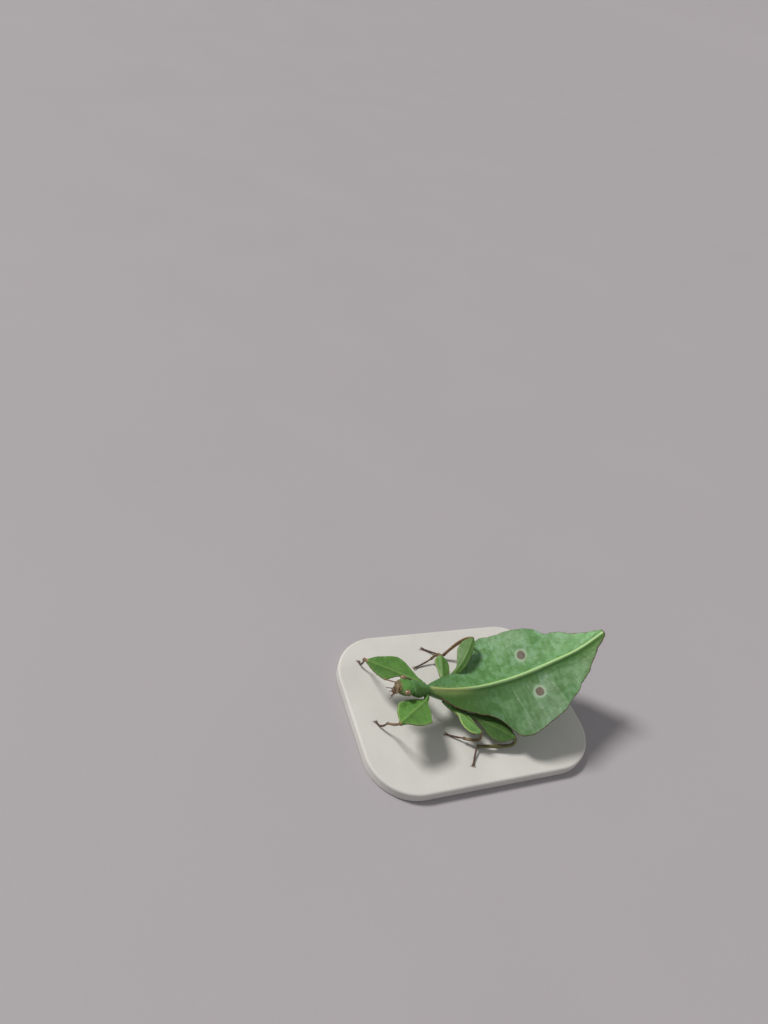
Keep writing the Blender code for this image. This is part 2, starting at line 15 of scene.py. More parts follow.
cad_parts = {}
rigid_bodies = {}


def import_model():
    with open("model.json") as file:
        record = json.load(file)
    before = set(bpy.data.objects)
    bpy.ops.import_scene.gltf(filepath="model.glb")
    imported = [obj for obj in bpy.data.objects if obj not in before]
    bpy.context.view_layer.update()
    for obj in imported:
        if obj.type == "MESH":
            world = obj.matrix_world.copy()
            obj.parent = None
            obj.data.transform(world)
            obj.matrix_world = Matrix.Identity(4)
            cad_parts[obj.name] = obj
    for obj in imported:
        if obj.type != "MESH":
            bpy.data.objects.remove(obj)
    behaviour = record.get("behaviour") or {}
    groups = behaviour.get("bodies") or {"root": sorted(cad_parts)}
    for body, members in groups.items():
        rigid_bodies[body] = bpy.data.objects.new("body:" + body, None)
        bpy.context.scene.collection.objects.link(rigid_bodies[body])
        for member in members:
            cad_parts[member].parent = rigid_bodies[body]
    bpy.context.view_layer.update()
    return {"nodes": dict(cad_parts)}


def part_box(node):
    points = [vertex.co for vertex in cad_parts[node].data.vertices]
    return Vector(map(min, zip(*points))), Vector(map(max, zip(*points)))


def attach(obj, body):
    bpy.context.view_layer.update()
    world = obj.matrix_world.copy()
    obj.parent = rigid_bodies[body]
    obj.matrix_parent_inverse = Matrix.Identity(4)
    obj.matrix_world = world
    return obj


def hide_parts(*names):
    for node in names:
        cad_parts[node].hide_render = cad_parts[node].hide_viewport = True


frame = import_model()

bl_info = {
    "name": "Leaf insect looks",
    "version": (1, 0, 0),
    "blender": (4, 5, 0),
    "location": "View3D > Sidebar > Leaf insect",
    "description": "Skin, eyes, feelers, jaws, claws and stage of a life-size leaf insect",
    "category": "Object",
}

MM = 0.001

# Where the zero of the shapes stands in the frame, and how high the top of the base is from it
SHIFT = np.array([-5.0, -1.3, 8.5])
STAND_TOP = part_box("stand_base")[1].z / MM - SHIFT[2]

# Line of the back, by distance from the front of the head
BODY_LENGTH = 45.0
BACK_STEP = 0.25
BACK_AT = [0, 7, 12.5, 20, 28, 36, 45]
BACK_PITCH = [-15.0, -20.4, -8.9, 8.3, 22.4, 33.1, 43.0]
YAW_AT = [0, 7, 12.5, 45]
BACK_YAW = [-5.1, -3.5, 0, 6.1]
BACK_ORIGIN = 12.5

# Thorax and abdomen: half width, what each side falls short of it, roof slope, rib and its way
# to the right, keel, depth, and the rounding of the margin
SKIN_START = 6.9
WIDTH_AT = [7, 9.5, 12.5, 15, 17.2, 19, 20.3, 20.9, 21.8, 24, 28, 32, 34.7, 35.5, 36,
            37.5, 38.9, 39.4, 40.8, 41.9, 42.3, 43.4, 44.4, 45]
WIDTH = [0.88, 1.96, 3.45, 4.3, 5.5, 6.96, 8.5, 9.6, 10.55, 11.25, 10.4, 8.95, 7.65, 7.05, 6.5,
         5.65, 4.6, 4.1, 3.25, 2.55, 2.15, 1.5, 0.85, 0.4]
TRIM_RIGHT_AT = [7, 9, 12, 14, 16, 22.5, 25.5, 29.5, 33.5, 34.5, 35.3, 36.7, 38, 41.5, 43.5, 45]
TRIM_RIGHT = [0, -0.3, -0.25, 0.02, 0.15, 0, 0.5, 0.05, 0.1, 0.6, 1.05, 0.3, 0.2, 0.35, 0.05, 0]
TRIM_LEFT_AT = [7, 9.5, 10.5, 12, 14.3, 16.8, 18.1, 20.3, 22.3, 27, 31.3, 33.2, 37.5, 39.1, 41.8, 43.6]
TRIM_LEFT = [0, 0.4, 0.12, -0.1, -0.3, -0.05, 0.6, 1.0, 0, 0.08, -0.3, 0.2, 0.15, 0, 0.28, 0]
ROOF_AT = [7, 20, 32, 45]
ROOF_SLOPE = [9.9, 9.9, -0.8, 25.0]
RIB_AT = [3, 7, 12, 36, 45]
RIB_HEIGHT = [0.1, 0.25, 0.45, 0.42, 0.2]
RIB_HALF = 0.34
RIB_OUT_AT = [7, 12, 18, 27, 33, 39, 45]
RIB_OUT = [0.1, 0.28, 0.22, 0.03, -0.08, -0.4, -0.1]
RIB_PULL = 2.0
KEEL_AT = [7, 14, 34, 42, 45]
KEEL_HEIGHT = [0.1, 0.6, 0.75, 0.3, 0.05]
KEEL_HALF = 1.5
BODY_AT = [7, 10, 13, 24, 34, 42, 45]
BODY_DEPTH = [1.7, 2.1, 2.2, 1.9, 1.5, 0.9, 0.6]
BODY_HALF = 1.7
EDGE_ROUND = 0.15

# Waves of the margin as height and pace, where its sections stand closer and where its tip rounds
# off, how many sections there are, and the two cerci
SCALLOPS = [(0.016, 9.7), (0.022, 5.9), (0.03, 3.1)]
TAIL_FROM = 43.5
TIP_FROM = 44.3
BODY_SECTIONS = 262
TAIL_SECTIONS = 12
CERCI_AT = 43.95
CERCUS_OUT = 0.34
CERCUS_DOWN = 0.42
CERCUS_LENGTH = 0.95
CERCUS_HALF = 0.17

# End of the thorax, ends of the segments, how near the margin the forms die out, side veins of the
# abdomen and nerves of the lobes, and the two eyespots
THORAX_END = 13.0
SEGMENT_ENDS = [13.9, 17.3, 20.6, 24.2, 27.0, 31.2, 35.3, 39.1, 42.1, 43.7]
CALM_EDGE = 0.8
VEIN_GAP = 2.7
VEIN_LEAN = 0.75
NERVE_GAP = 1.15
NERVE_AT = 0.57
NERVE_LEAN = 0.7
SPOT_ALONG = 28.9
SPOT_ACROSS = 4.15

# Head and pronotum sections: place, half width, top below the back line, depth; eyes, antennae
# with the ends of their segments, and mouth
HEAD = [(0.0, 0.2, 1.1, 0.2), (0.05, 0.48, 0.95, 0.5), (0.15, 0.7, 0.8, 0.8),
        (0.5, 1.1, 0.48, 1.35), (1.0, 1.38, 0.2, 1.8), (1.6, 1.52, 0.04, 2.05),
        (2.3, 1.58, 0.0, 2.1), (2.9, 1.52, 0.02, 2.0), (3.4, 1.3, 0.12, 1.75), (4.1, 1.05, 0.4, 1.3)]
PRONOTUM = [(3.45, 1.2, 0.35, 1.3), (3.52, 1.42, 0.15, 1.6), (4.0, 1.64, 0.02, 1.8),
            (4.7, 1.68, 0.0, 1.9), (5.4, 1.5, 0.05, 1.9), (6.1, 1.2, 0.03, 1.8),
            (6.86, 0.98, 0.02, 1.65), (7.5, 0.85, 0.3, 1.3)]
HEAD_SIDES = 72
EYE_AT = 1.8
EYE_OUT = 1.57
EYE_DOWN = 0.42
EYE_RADIUS = (0.62, 0.52, 0.5)
EYE_RIM = 0.66
ANTENNA_AT = 0.35
ANTENNA_AIM = {1: (1.0, 0.5, -0.35), -1: (0.56, 0.76, 0.33)}
ANTENNA_LENGTH = 2.55
ANTENNA_HALF = 0.112
ANTENNA_ENDS = np.array([0.17, 0.25, 0.34, 0.43, 0.52, 0.61, 0.70, 0.80, 1.0])
JAWS_AT = 0.6
CHIN_DOWN = 1.95
FEELER_HALF = 0.105

# The two sides of the body, as they count across it
SIDES = {"right": 1, "left": -1}

# Legs: points at root, hip, knee, shin, ankle and claw, bow of the femur, normal of its lobes and
# their widths, thickness and brownness of the shin, painted light and shade of the lobes as a
# brightness, and pale edges of the lobes
LOBE_AT = [0, 0.05, 0.12, 0.25, 0.38, 0.5, 0.62, 0.75, 0.87, 0.96, 1.0]
LEGS = {
    "fore_right": dict(
        side=1, root=(-5.95, 0.75, 0.6), hip=(-6.1, 2.1, 0.5), bend=(0, 0, 0),
        knee=(-14.94, 7.58, 1.0), shin=[(-14.5, 9.4, -0.8)], ankle=(-13.39, 10.85, -3.6),
        claw=(-13.33, 12.61, -5.7), up=(0, -0.3, 1),
        rear=[0.42, 0.6, 1.05, 2.0, 2.9, 3.25, 2.9, 2.25, 1.6, 0.85, 0.42],
        front=[0.42, 0.4, 0.38, 0.38, 0.5, 1.3, 2.05, 1.78, 1.25, 0.75, 0.42],
        thick=0.8, tone=1.0, painted_light=0.92, pale=0.12),
    "fore_left": dict(
        side=-1, root=(-6.15, -0.55, 0.6), hip=(-6.5, -1.8, 0.4), bend=(0, 0, 0),
        knee=(-13.88, -6.67, 2.5), shin=[(-13.7, -5.54, 0.4)], ankle=(-13.38, -2.99, -3.2),
        claw=(-14.06, -0.74, -5.7), up=(0, 0.1, 1),
        rear=[0.42, 0.8, 1.55, 2.75, 3.5, 3.2, 2.75, 2.0, 1.05, 0.55, 0.38],
        front=[0.42, 0.75, 1.45, 2.35, 2.98, 3.1, 2.62, 2.05, 1.22, 0.5, 0.38],
        thick=0.8, tone=0.9, painted_light=1.05, pale=0.4),
    "mid_right": dict(
        side=1, root=(-1.9, 1.1, -1.5), hip=(-0.2, 3.35, -2.2), bend=(0, 0, 0.2),
        knee=(1.31, 8.58, -1.5), shin=[(1.7, 9.9, -2.6)], ankle=(1.37, 10.8, -5.2),
        claw=(-2.27, 9.8, -5.7), up=(0, 0, 1),
        rear=[0.4, 0.45, 0.75, 1.3, 1.58, 1.62, 1.62, 1.52, 1.25, 0.78, 0.42],
        front=[0.4, 0.4, 0.45, 0.65, 0.85, 1.02, 1.18, 1.28, 1.12, 0.7, 0.42],
        thick=1.0, tone=0.7, painted_light=0.84, pale=0.42),
    "mid_left": dict(
        side=-1, root=(-1.9, -1.1, -1.5), hip=(-0.5, -2.5, -2.3), bend=(0, 0, 0.2),
        knee=(2.72, -8.3, -2.0), shin=[(2.85, -8.55, -3.7)], ankle=(0.88, -6.98, -5.2),
        claw=(-1.52, -5.24, -5.7), up=(0, 0.1, 1),
        rear=[0.4, 0.5, 0.7, 0.95, 1.15, 1.12, 0.98, 0.75, 0.52, 0.42, 0.4],
        front=[0.4, 0.4, 0.4, 0.58, 1.05, 1.42, 1.56, 1.52, 1.15, 0.65, 0.42],
        thick=1.0, tone=0.6, painted_light=1.0, pale=0.6),
    "hind_right": dict(
        side=1, root=(0.4, 1.4, -1.9), hip=(1.85, 4.2, -2.55), bend=(0.83, -0.08, 1.6),
        knee=(7.51, 9.49, 2.0), shin=[(7.1, 11.2, -0.6)], ankle=(4.34, 11.39, -5.3),
        claw=(0.92, 14.11, -5.7), up=(0, 0.15, 1),
        rear=[0.4, 0.5, 0.85, 1.0, 1.0, 0.95, 0.9, 0.84, 0.82, 0.55, 0.38],
        front=[0.4, 0.4, 0.42, 1.15, 1.75, 2.1, 2.05, 1.75, 1.2, 0.58, 0.38],
        thick=1.15, tone=1.0, painted_light=0.7, pale=0.25),
    "hind_left": dict(
        side=-1, root=(0.4, -1.4, -1.9), hip=(2.05, -3.8, -2.75), bend=(0.3, 0, 0),
        knee=(9.8, -9.6, -3.2), shin=[(9.78, -10.15, -4.3), (8.0, -9.95, -5.0)],
        ankle=(2.87, -9.07, -5.2), claw=(1.17, -11.88, -5.7), up=(0, -0.3, 1),
        rear=[0.4, 0.5, 0.8, 1.5, 1.95, 2.1, 2.05, 1.85, 1.5, 0.75, 0.38],
        front=[0.4, 0.4, 0.4, 0.65, 1.3, 1.87, 2.12, 1.93, 1.35, 0.6, 0.38],
        thick=1.15, tone=0.0, painted_light=0.5, pale=0.08),
}

# Half thickness of a femur's shaft, fall of its lobes, where they close and their teeth, radii of
# the other leg parts, ends of the foot segments, and the claws with the pad between them
SHAFT = 0.42
LOBE_FALL = 0.16
LOBE_CLOSE = 0.985
LOBE_TEETH = 13
TOOTH = 0.07
TIBIA = 0.33
COXA = 0.5
TARSUS = 0.19
FOOT_ENDS = np.array([0.0, 0.32, 0.44, 0.56, 0.67, 1.0])
CLAW_HALF = 0.085
CLAW_ARCH = 0.16
CLAW_SPREAD = 0.75
CLAW_PAD = (0.22, 0.13, 0.09)

# Nodes of head and body that the skin replaces
FLESH = ["head", "pronotum", "mesothorax", "metathorax", "abdomen_front", "abdomen_middle",
         "abdomen_tip"]

# Marks of every skin point, three to an attribute; on the lobes head tells how pale their edges are;
# tone is painted light and shade on lobes and coxae, and brownness on shins and feet
MARKS = {"place": ("along", "across", "edge"), "kind": ("lobe", "shin", "foot"),
         "tone": ("head", "top", "tone")}
MARK_NAMES = [name for names in MARKS.values() for name in names]
NO_EDGE = 9.0


def shown_size(name, description, size):
    """A length that the panel shows, given in millimetres."""
    return FloatProperty(name=name, description=description, default=size * MM, unit="LENGTH")


class LeafInsectSizes(bpy.types.PropertyGroup):
    flap: shown_size("Flap thickness", "Thickness of the abdomen near its margin", 0.34)
    lobe: shown_size("Lobe thickness", "Thickness of the leaf-like lobes of the legs", 0.26)
    grain: shown_size("Skin grain", "Depth of the fine grain of the skin", 0.035)
    claw: shown_size("Claw length", "Length of each claw from its root to its point", 0.62)


def shown_colour(name, description, red, green, blue):
    """A colour that the panel shows."""
    return FloatVectorProperty(name=name, description=description, subtype="COLOR",
                               default=(red, green, blue))


class LeafInsectColours(bpy.types.PropertyGroup):
    leaf: shown_colour("Leaf green", "Main green of the abdomen", 0.135, 0.315, 0.100)
    shade: shown_colour("Shade green", "Darker green patches and the thorax", 0.052, 0.160, 0.024)
    # Bloom green, also used for the painted sheen near the abdomen's margin
    bloom_and_sheen: shown_colour("Bloom", "Pale bluish mottling of the abdomen", 0.255, 0.440, 0.310)
    rib: shown_colour("Rib", "Pale midrib at the front of the abdomen", 0.440, 0.510, 0.180)
    rib_tail: shown_colour("Rib at the tail", "Pale green of the midrib further back",
                           0.440, 0.660, 0.290)
    rim: shown_colour("Rim", "Thin brown margin of the abdomen", 0.120, 0.060, 0.035)
    spot: shown_colour("Eyespot", "Brown centre of the two eyespots", 0.085, 0.052, 0.038)
    halo: shown_colour("Eyespot halo", "Pale ring round each eyespot", 0.330, 0.430, 0.300)
    lobe: shown_colour("Lobe green", "Bright green of the leg lobes", 0.108, 0.258, 0.042)
    lobe_rim: shown_colour("Lobe rim", "Pale yellow-green rim of the leg lobes", 0.420, 0.560, 0.200)
    shin: shown_colour("Shin", "Olive of the shins", 0.120, 0.118, 0.035)
    shin_brown: shown_colour("Brown shin", "Brown of the browner shins", 0.230, 0.120, 0.060)
    foot: shown_colour("Foot", "Dark brown of the feet and claws", 0.085, 0.045, 0.028)
    head: shown_colour("Head green", "Top of the head", 0.110, 0.290, 0.060)
    # Olive brown: partly the face's own brown, partly painted shade on the sides and underside of head
    # and pronotum
    cheek_shade: shown_colour("Cheek", "Olive brown sides and underside of the head", 0.130, 0.110, 0.040)
    eye: shown_colour("Eye", "Tan of the eyes", 0.330, 0.225, 0.125)
    feeler: shown_colour("Feeler", "Brown of the antennae and feelers", 0.240, 0.140, 0.080)
    base: shown_colour("Base", "Off-white of the base", 0.640, 0.625, 0.590)
    floor: shown_colour("Floor", "Pale floor", 0.405, 0.380, 0.402)


# Shapes


def unit(direction):
    direction = np.asarray(direction, float)
    return direction / np.linalg.norm(direction)


def smooth(at, values, x):
    """Monotone cubic through the points (at, values), read at x."""
    at = np.asarray(at, float)
    values = np.asarray(values, float)
    step = np.diff(at)
    rise = np.diff(values) / step
    slope = np.zeros(len(at))
    for i in range(1, len(at) - 1):
        if rise[i - 1] * rise[i] > 0:
            a = 2 * step[i] + step[i - 1]
            b = step[i] + 2 * step[i - 1]
            slope[i] = (a + b) / (a / rise[i - 1] + b / rise[i])
    slope[0] = rise[0]
    slope[-1] = rise[-1]
    x = np.clip(np.asarray(x, float), at[0], at[-1])
    i = np.clip(np.searchsorted(at, x, side="right") - 1, 0, len(at) - 2)
    t = (x - at[i]) / step[i]
    whole = values[i] * (1 + 2 * t) * (1 - t) ** 2 + values[i + 1] * t * t * (3 - 2 * t)
    bend = slope[i] * t * (1 - t) ** 2 + slope[i + 1] * t * t * (t - 1)
    return whole + bend * step[i]


def hump(x, width):
    """A bell: one at zero, and nearly nothing past twice the width on both sides."""
    return np.exp(-((x / width) ** 2))


def ripple(points, length, seed):
    """Smooth unevenness, about -1 to 1, with bumps about length apart."""
    draw = np.random.default_rng(seed)
    total = np.zeros(points.shape[:-1])
    waves = 14
    for _ in range(waves):
        lean = unit(draw.normal(size=3)) * 2 * math.pi / length * draw.uniform(0.7, 1.5)
        total += np.sin(points @ lean + draw.uniform(0, 2 * math.pi))
    return total / math.sqrt(waves)


def back_line():
    """Places along the back: positions, and the along, right and up directions."""
    s = np.linspace(0, BODY_LENGTH, round(BODY_LENGTH / BACK_STEP) + 1)
    pitch = np.radians(np.interp(s, BACK_AT, BACK_PITCH))
    yaw = np.radians(np.interp(s, YAW_AT, BACK_YAW))
    along = np.stack([np.cos(pitch) * np.cos(yaw), np.cos(pitch) * np.sin(yaw), np.sin(pitch)], 1)
    right = np.stack([-np.sin(yaw), np.cos(yaw), 0 * yaw], 1)
    up = np.cross(along, right)
    place = np.zeros((len(s), 3))
    place[1:] = np.cumsum((along[1:] + along[:-1]) / 2 * (s[1] - s[0]), 0)
    place -= place[np.argmin(abs(s - BACK_ORIGIN))]
    return s, place, along, right, up


BACK = back_line()


def back_frame(s):
    """Position, and the along, right and up directions, at one place of the back line."""
    at = BACK[0]
    return [np.array([np.interp(s, at, part[:, k]) for k in range(3)]) for part in BACK[1:]]


def new_object(name, points, faces):
    """A linked object from points in metres."""
    mesh = bpy.data.meshes.new(name)
    mesh.from_pydata(points.tolist(), [], faces)
    mesh.update()
    made = bpy.data.objects.new(name, mesh)
    bpy.context.scene.collection.objects.link(made)
    return made


class Form:
    """A closed surface in millimetres, with the marks of each of its points."""

    def __init__(self, rings, marks, flat):
        count, size = rings.shape[:2]
        index = np.arange(count * size).reshape(count, size)
        after = np.roll(index, -1, 1)
        sides = np.stack([index[:-1], after[:-1], after[1:], index[1:]], -1).reshape(-1, 4)
        self.points = rings.reshape(-1, 3)
        self.marks = marks.reshape(-1, marks.shape[-1])
        self.faces = sides.tolist()
        for row, turned in ((index[0], True), (index[-1], False)):
            self.faces += self.flat_end(row, turned) if flat else self.round_end(row, turned)
        if self.volume() < 0:
            self.faces = [face[::-1] for face in self.faces]

    def flat_end(self, row, turned):
        """Strips across a flat ring laid out as rim, top, rim and bottom backwards."""
        faces = []
        size = len(row)
        for j in range(size // 2):
            a, b = row[j], row[j + 1]
            c, d = row[(size - j - 1) % size], row[(size - j) % size]
            corners = [a, d, c, b] if turned else [a, b, c, d]
            kept = list(dict.fromkeys(int(i) for i in corners))
            if len(kept) > 2:
                faces.append(kept)
        return faces

    def round_end(self, row, turned):
        middle = len(self.points)
        self.points = np.vstack([self.points, self.points[row].mean(0)])
        self.marks = np.vstack([self.marks, self.marks[row].mean(0)])
        after = np.roll(row, -1)
        if turned:
            return [[middle, int(b), int(a)] for a, b in zip(row, after)]
        return [[middle, int(a), int(b)] for a, b in zip(row, after)]

    def volume(self):
        """Six times the volume, negative where the faces point inwards."""
        fans = [(f[0], f[j], f[j + 1]) for f in self.faces for j in range(1, len(f) - 1)]
        a, b, c = self.points[np.array(fans)].transpose(1, 0, 2)
        return float((a * np.cross(b, c)).sum())

    def build(self, name):
        return new_object(name, (self.points + SHIFT) * MM, self.faces)


def around(first, top, last, under=None):
    """Values round a flat ring: one rim, the top, the other rim, and the underside backwards."""
    under = top if under is None else under
    return np.concatenate([[first], top, [last], under[::-1]])


def facing(count):
    """One for the top of a flat ring, a half for its rims and nought for the underside."""
    return around(0.5, np.ones(count), 0.5, np.zeros(count))


def mark_rows(shape, **values):
    """Marks for points in an array of the given shape; the ones not named are zero."""
    rows = np.zeros((*shape, len(MARK_NAMES)))
    for name, value in {"edge": NO_EDGE, **values}.items():
        rows[..., MARK_NAMES.index(name)] = value
    return rows


def turns(sides):
    """Angles of the points round a ring."""
    return np.linspace(0, 2 * math.pi, sides, endpoint=False)


def circle_rings(path, radii, sides, ridges=0.0, flat=1.0, end=None):
    """Round rings about a path; ridges raises four edges, and flat below one lowers the rings."""
    path = np.asarray(path, float)
    steps = np.diff(path, axis=0)
    steps /= np.linalg.norm(steps, axis=1)[:, None]
    tangents = np.vstack([steps[:1], steps[1:] + steps[:-1], steps[-1:]])
    if end is not None:
        tangents[-1] = end
    tangents /= np.linalg.norm(tangents, axis=1)[:, None]
    side = np.cross(tangents[0], (0, 0, 1))
    if np.linalg.norm(side) < 0.2:
        side = np.cross(tangents[0], (0, 1, 0))
    turn = turns(sides)
    swell = 1 + ridges * np.cos(4 * turn)
    rings = []
    for p, t, r in zip(path, tangents, radii):
        side = unit(side - t * (side @ t))
        over = np.cross(t, side)
        ring = np.outer(np.cos(turn) * swell, side) + np.outer(np.sin(turn) * swell * flat, over)
        rings.append(p + ring * r)
    return np.array(rings)


def curve(points, count):
    """Points along a smooth curve through the given points."""
    p = np.asarray(points, float)
    span = np.concatenate([[0], np.cumsum(np.linalg.norm(np.diff(p, axis=0), axis=1) ** 0.5)])
    x = np.linspace(0, span[-1], count)
    out = np.zeros((count, 3))
    for i in range(len(p)):
        weight = np.ones(count)
        for j in range(len(p)):
            if j != i:
                weight *= (x - span[j]) / (span[i] - span[j])
        out += weight[:, None] * p[i]
    return out


def evenly(path, count):
    """The same path with points the same distance apart."""
    span = np.concatenate([[0], np.cumsum(np.linalg.norm(np.diff(path, axis=0), axis=1))])
    at = np.linspace(0, span[-1], count)
    return np.stack([np.interp(at, span, path[:, k]) for k in range(3)], 1)


# Thorax and abdomen


def margins(s):
    """Half widths of the left and right side, with fine uneven scallops."""
    w = float(smooth(WIDTH_AT, WIDTH, s))
    rough = min(max((w - 1) / 3, 0), 1)
    sides = []
    (fine, fine_pace), (middle, middle_pace), (broad, broad_pace) = SCALLOPS
    for at, trim, shift in ((TRIM_LEFT_AT, TRIM_LEFT, 0.0), (TRIM_RIGHT_AT, TRIM_RIGHT, 1.9)):
        scallop = (fine * math.sin(fine_pace * s + 2 * math.sin(1.3 * s + shift))
                   + middle * math.sin(middle_pace * s + shift)
                   + broad * math.sin(broad_pace * s + 1 + shift))
        sides.append(w - float(smooth(at, trim, s)) + scallop * rough)
    return sides


def columns_across(w):
    """Places across half the body, close together at the rib and at the margin."""
    rib = np.linspace(0, 1, 17)[1:] ** 1.3 * min(1.9, 0.45 * w)
    edge = w - min(0.34, 0.25 * w) * np.array([1, 0.72, 0.48, 0.28, 0.12, 0.03])
    wide = np.linspace(rib[-1], edge[0], 26)[1:-1]
    return np.concatenate([rib, wide, edge])


def body_form(flap):
    """Thorax and abdomen as one flat loft, from behind the pronotum to the tip."""
    sections = np.concatenate([
        np.linspace(SKIN_START, TAIL_FROM, BODY_SECTIONS),
        np.linspace(TAIL_FROM, TIP_FROM, TAIL_SECTIONS)[1:],
        TIP_FROM + (BODY_LENGTH - TIP_FROM) * np.sin(np.linspace(0, math.pi / 2, TAIL_SECTIONS))[1:]])
    rings = []
    marks = []
    for s in sections:
        w = float(smooth(WIDTH_AT, WIDTH, s))
        past = max((s - TIP_FROM) / (BODY_LENGTH - TIP_FROM), 0)
        close = math.sqrt(1 - 0.97 * past ** 2)
        left, right_side = [side * close for side in margins(min(s, TIP_FROM))]
        u = np.concatenate([-columns_across(left)[::-1], [0.0], columns_across(right_side)])
        near = np.where(u < 0, left + u, right_side - u)
        place, _, right, up = back_frame(s)
        line = u - smooth(RIB_OUT_AT, RIB_OUT, s) * hump(u, RIB_PULL)
        top, bottom = body_heights(s, u, line, w, near, flap, close)
        high = place + np.outer(u, right) + np.outer(top, up)
        low = place + np.outer(u, right) + np.outer(bottom, up)
        high += np.outer(body_relief(s, u, near, high), up)
        low -= np.outer(belly_relief(s, u, near, low), up)
        first = place - right * left + up * (top[0] + bottom[0]) / 2
        last = place + right * right_side + up * (top[-1] + bottom[-1]) / 2
        rings.append(around(first, high, last, low))
        across = around(-left, line, right_side)
        marks.append(mark_rows(across.shape, along=s, across=across, edge=around(0.0, near, 0.0),
                               top=facing(len(u))))
    return Form(np.array(rings), np.array(marks), flat=True)


def body_heights(s, u, line, w, near, flap, close):
    """Top and bottom at the places u across, line from the rib and near from the margin."""
    slope = math.radians(np.interp(s, ROOF_AT, ROOF_SLOPE))
    rib = np.interp(s, RIB_AT, RIB_HEIGHT)
    keel = np.interp(s, KEEL_AT, KEEL_HEIGHT) * (1 - math.exp(-((w / KEEL_HALF) ** 2)))
    fall = (w * math.sin(slope) - rib - keel) / w
    top = rib * (hump(line, RIB_HALF) - 1) - keel * (1 - hump(u, KEEL_HALF)) - fall * abs(u)
    depth = smooth(BODY_AT, BODY_DEPTH, s)
    thick = flap + (depth - flap) * hump(u, BODY_HALF)
    thick = thick * (1 - 0.3 * hump(near, 0.9))
    round_off = min(EDGE_ROUND, 0.3 * w)
    inward = np.clip((round_off - near) / round_off, 0, 1)
    share = np.sqrt(1 - inward ** 2 * 0.96) * close
    middle = top - thick / 2
    return middle + thick / 2 * share, middle - thick / 2 * share


def segment_folds(s, swell, crease):
    """A crease of the given depth and width at each segment's end, and behind it a low swell."""
    rise, behind, wide = swell
    depth, narrow = crease
    fold = np.zeros(len(s))
    for end in SEGMENT_ENDS:
        fold += rise * hump(s - end - behind, wide) - depth * hump(s - end, narrow)
    return fold


def body_relief(s, u, near, points):
    """Fine forms of the back: segment folds, side veins, dimples, waves and thorax tubercles."""
    calm = np.clip(near / CALM_EDGE, 0, 1)
    behind = np.clip((s - THORAX_END) / 2, 0, 1)
    fold = segment_folds(s - 0.05 * abs(u), (0.02, 0.22, 0.2), (0.03, 0.13))
    veins = (s - VEIN_LEAN * abs(u) + 0.25 * ripple(points, 2.5, seed=9)) % VEIN_GAP - VEIN_GAP / 2
    veins = 0.008 * hump(veins, 0.2) * np.clip(abs(u) - 1, 0, 1)
    spot = -0.05 * hump(np.hypot(s - SPOT_ALONG, abs(u) - SPOT_ACROSS), 0.7)
    wave = 0.07 * ripple(points, 4.2, seed=3) + 0.02 * ripple(points, 1.1, seed=4)
    wave = wave * np.clip(abs(u) / 1.2, 0.1, 1)
    thorax = np.clip((THORAX_END - s) / 0.6, 0, 1) * np.clip((s - 7.4) / 0.5, 0, 1)
    wart = 0.1 * hump(near - 0.24, 0.13) * max(math.sin(2 * math.pi * s / 0.85), 0) ** 2 * thorax
    return calm * (behind * (fold + veins + spot) + wave * (0.4 + 0.6 * behind)) + wart


def belly_relief(s, u, near, points):
    """Height of the forms below: segment folds and the two low furrows beside the middle."""
    calm = np.clip(near / CALM_EDGE, 0, 1)
    behind = np.clip((s - THORAX_END) / 2, 0, 1)
    fold = segment_folds(s - 0.04 * abs(u), (0.05, 0.25, 0.22), (0.07, 0.14))
    furrow = -0.08 * hump(abs(u) - 1.15, 0.3)
    return calm * (behind * (fold + furrow) + 0.025 * ripple(points, 1.6, seed=5))


def cercus_form(side):
    """One of the two small leaf-like ends below the tip of the abdomen."""
    place, along, right, up = back_frame(CERCI_AT)
    t = np.linspace(0, 1, 16)
    start = place + right * side * CERCUS_OUT - up * CERCUS_DOWN
    line = start + np.outer(t * CERCUS_LENGTH, along) + np.outer(0.1 * t * t, right * side)
    radii = CERCUS_HALF * np.sqrt(np.clip(1 - (2 * t - 0.9) ** 2 / 1.3, 0.03, 1))
    rings = circle_rings(line, radii, 16, flat=0.5)
    marks = mark_rows(rings.shape[:2], along=CERCI_AT, across=side * 1.2, top=0.6)
    return Form(rings, marks, flat=False)


# Head and pronotum


def oval_form(sections, step, relief, head):
    """A closed oval loft along the back line."""
    table = np.array(sections)
    at = np.unique(np.concatenate([
        table[:, 0], np.arange(table[0, 0] + step, table[-1, 0], step)]))
    turn = turns(HEAD_SIDES)
    rings = []
    marks = []
    for s in at:
        w, down, depth = [float(smooth(table[:, 0], table[:, k], s)) for k in (1, 2, 3)]
        place, _, right, up = back_frame(s)
        x = np.copysign(abs(np.cos(turn)) ** 0.85, np.cos(turn)) * w
        z = np.copysign(abs(np.sin(turn)) ** 0.85, np.sin(turn)) * depth / 2
        middle = place - up * (down + depth / 2)
        ring = middle + np.outer(x, right) + np.outer(z, up)
        out = ring - middle
        out /= np.linalg.norm(out, axis=1)[:, None]
        ring = ring + out * relief(s, x, z / depth * 2, ring)[:, None]
        rings.append(ring)
        marks.append(mark_rows(x.shape, along=s, across=x, head=head, top=z / depth + 0.5))
    return Form(np.array(rings), np.array(marks), flat=False)


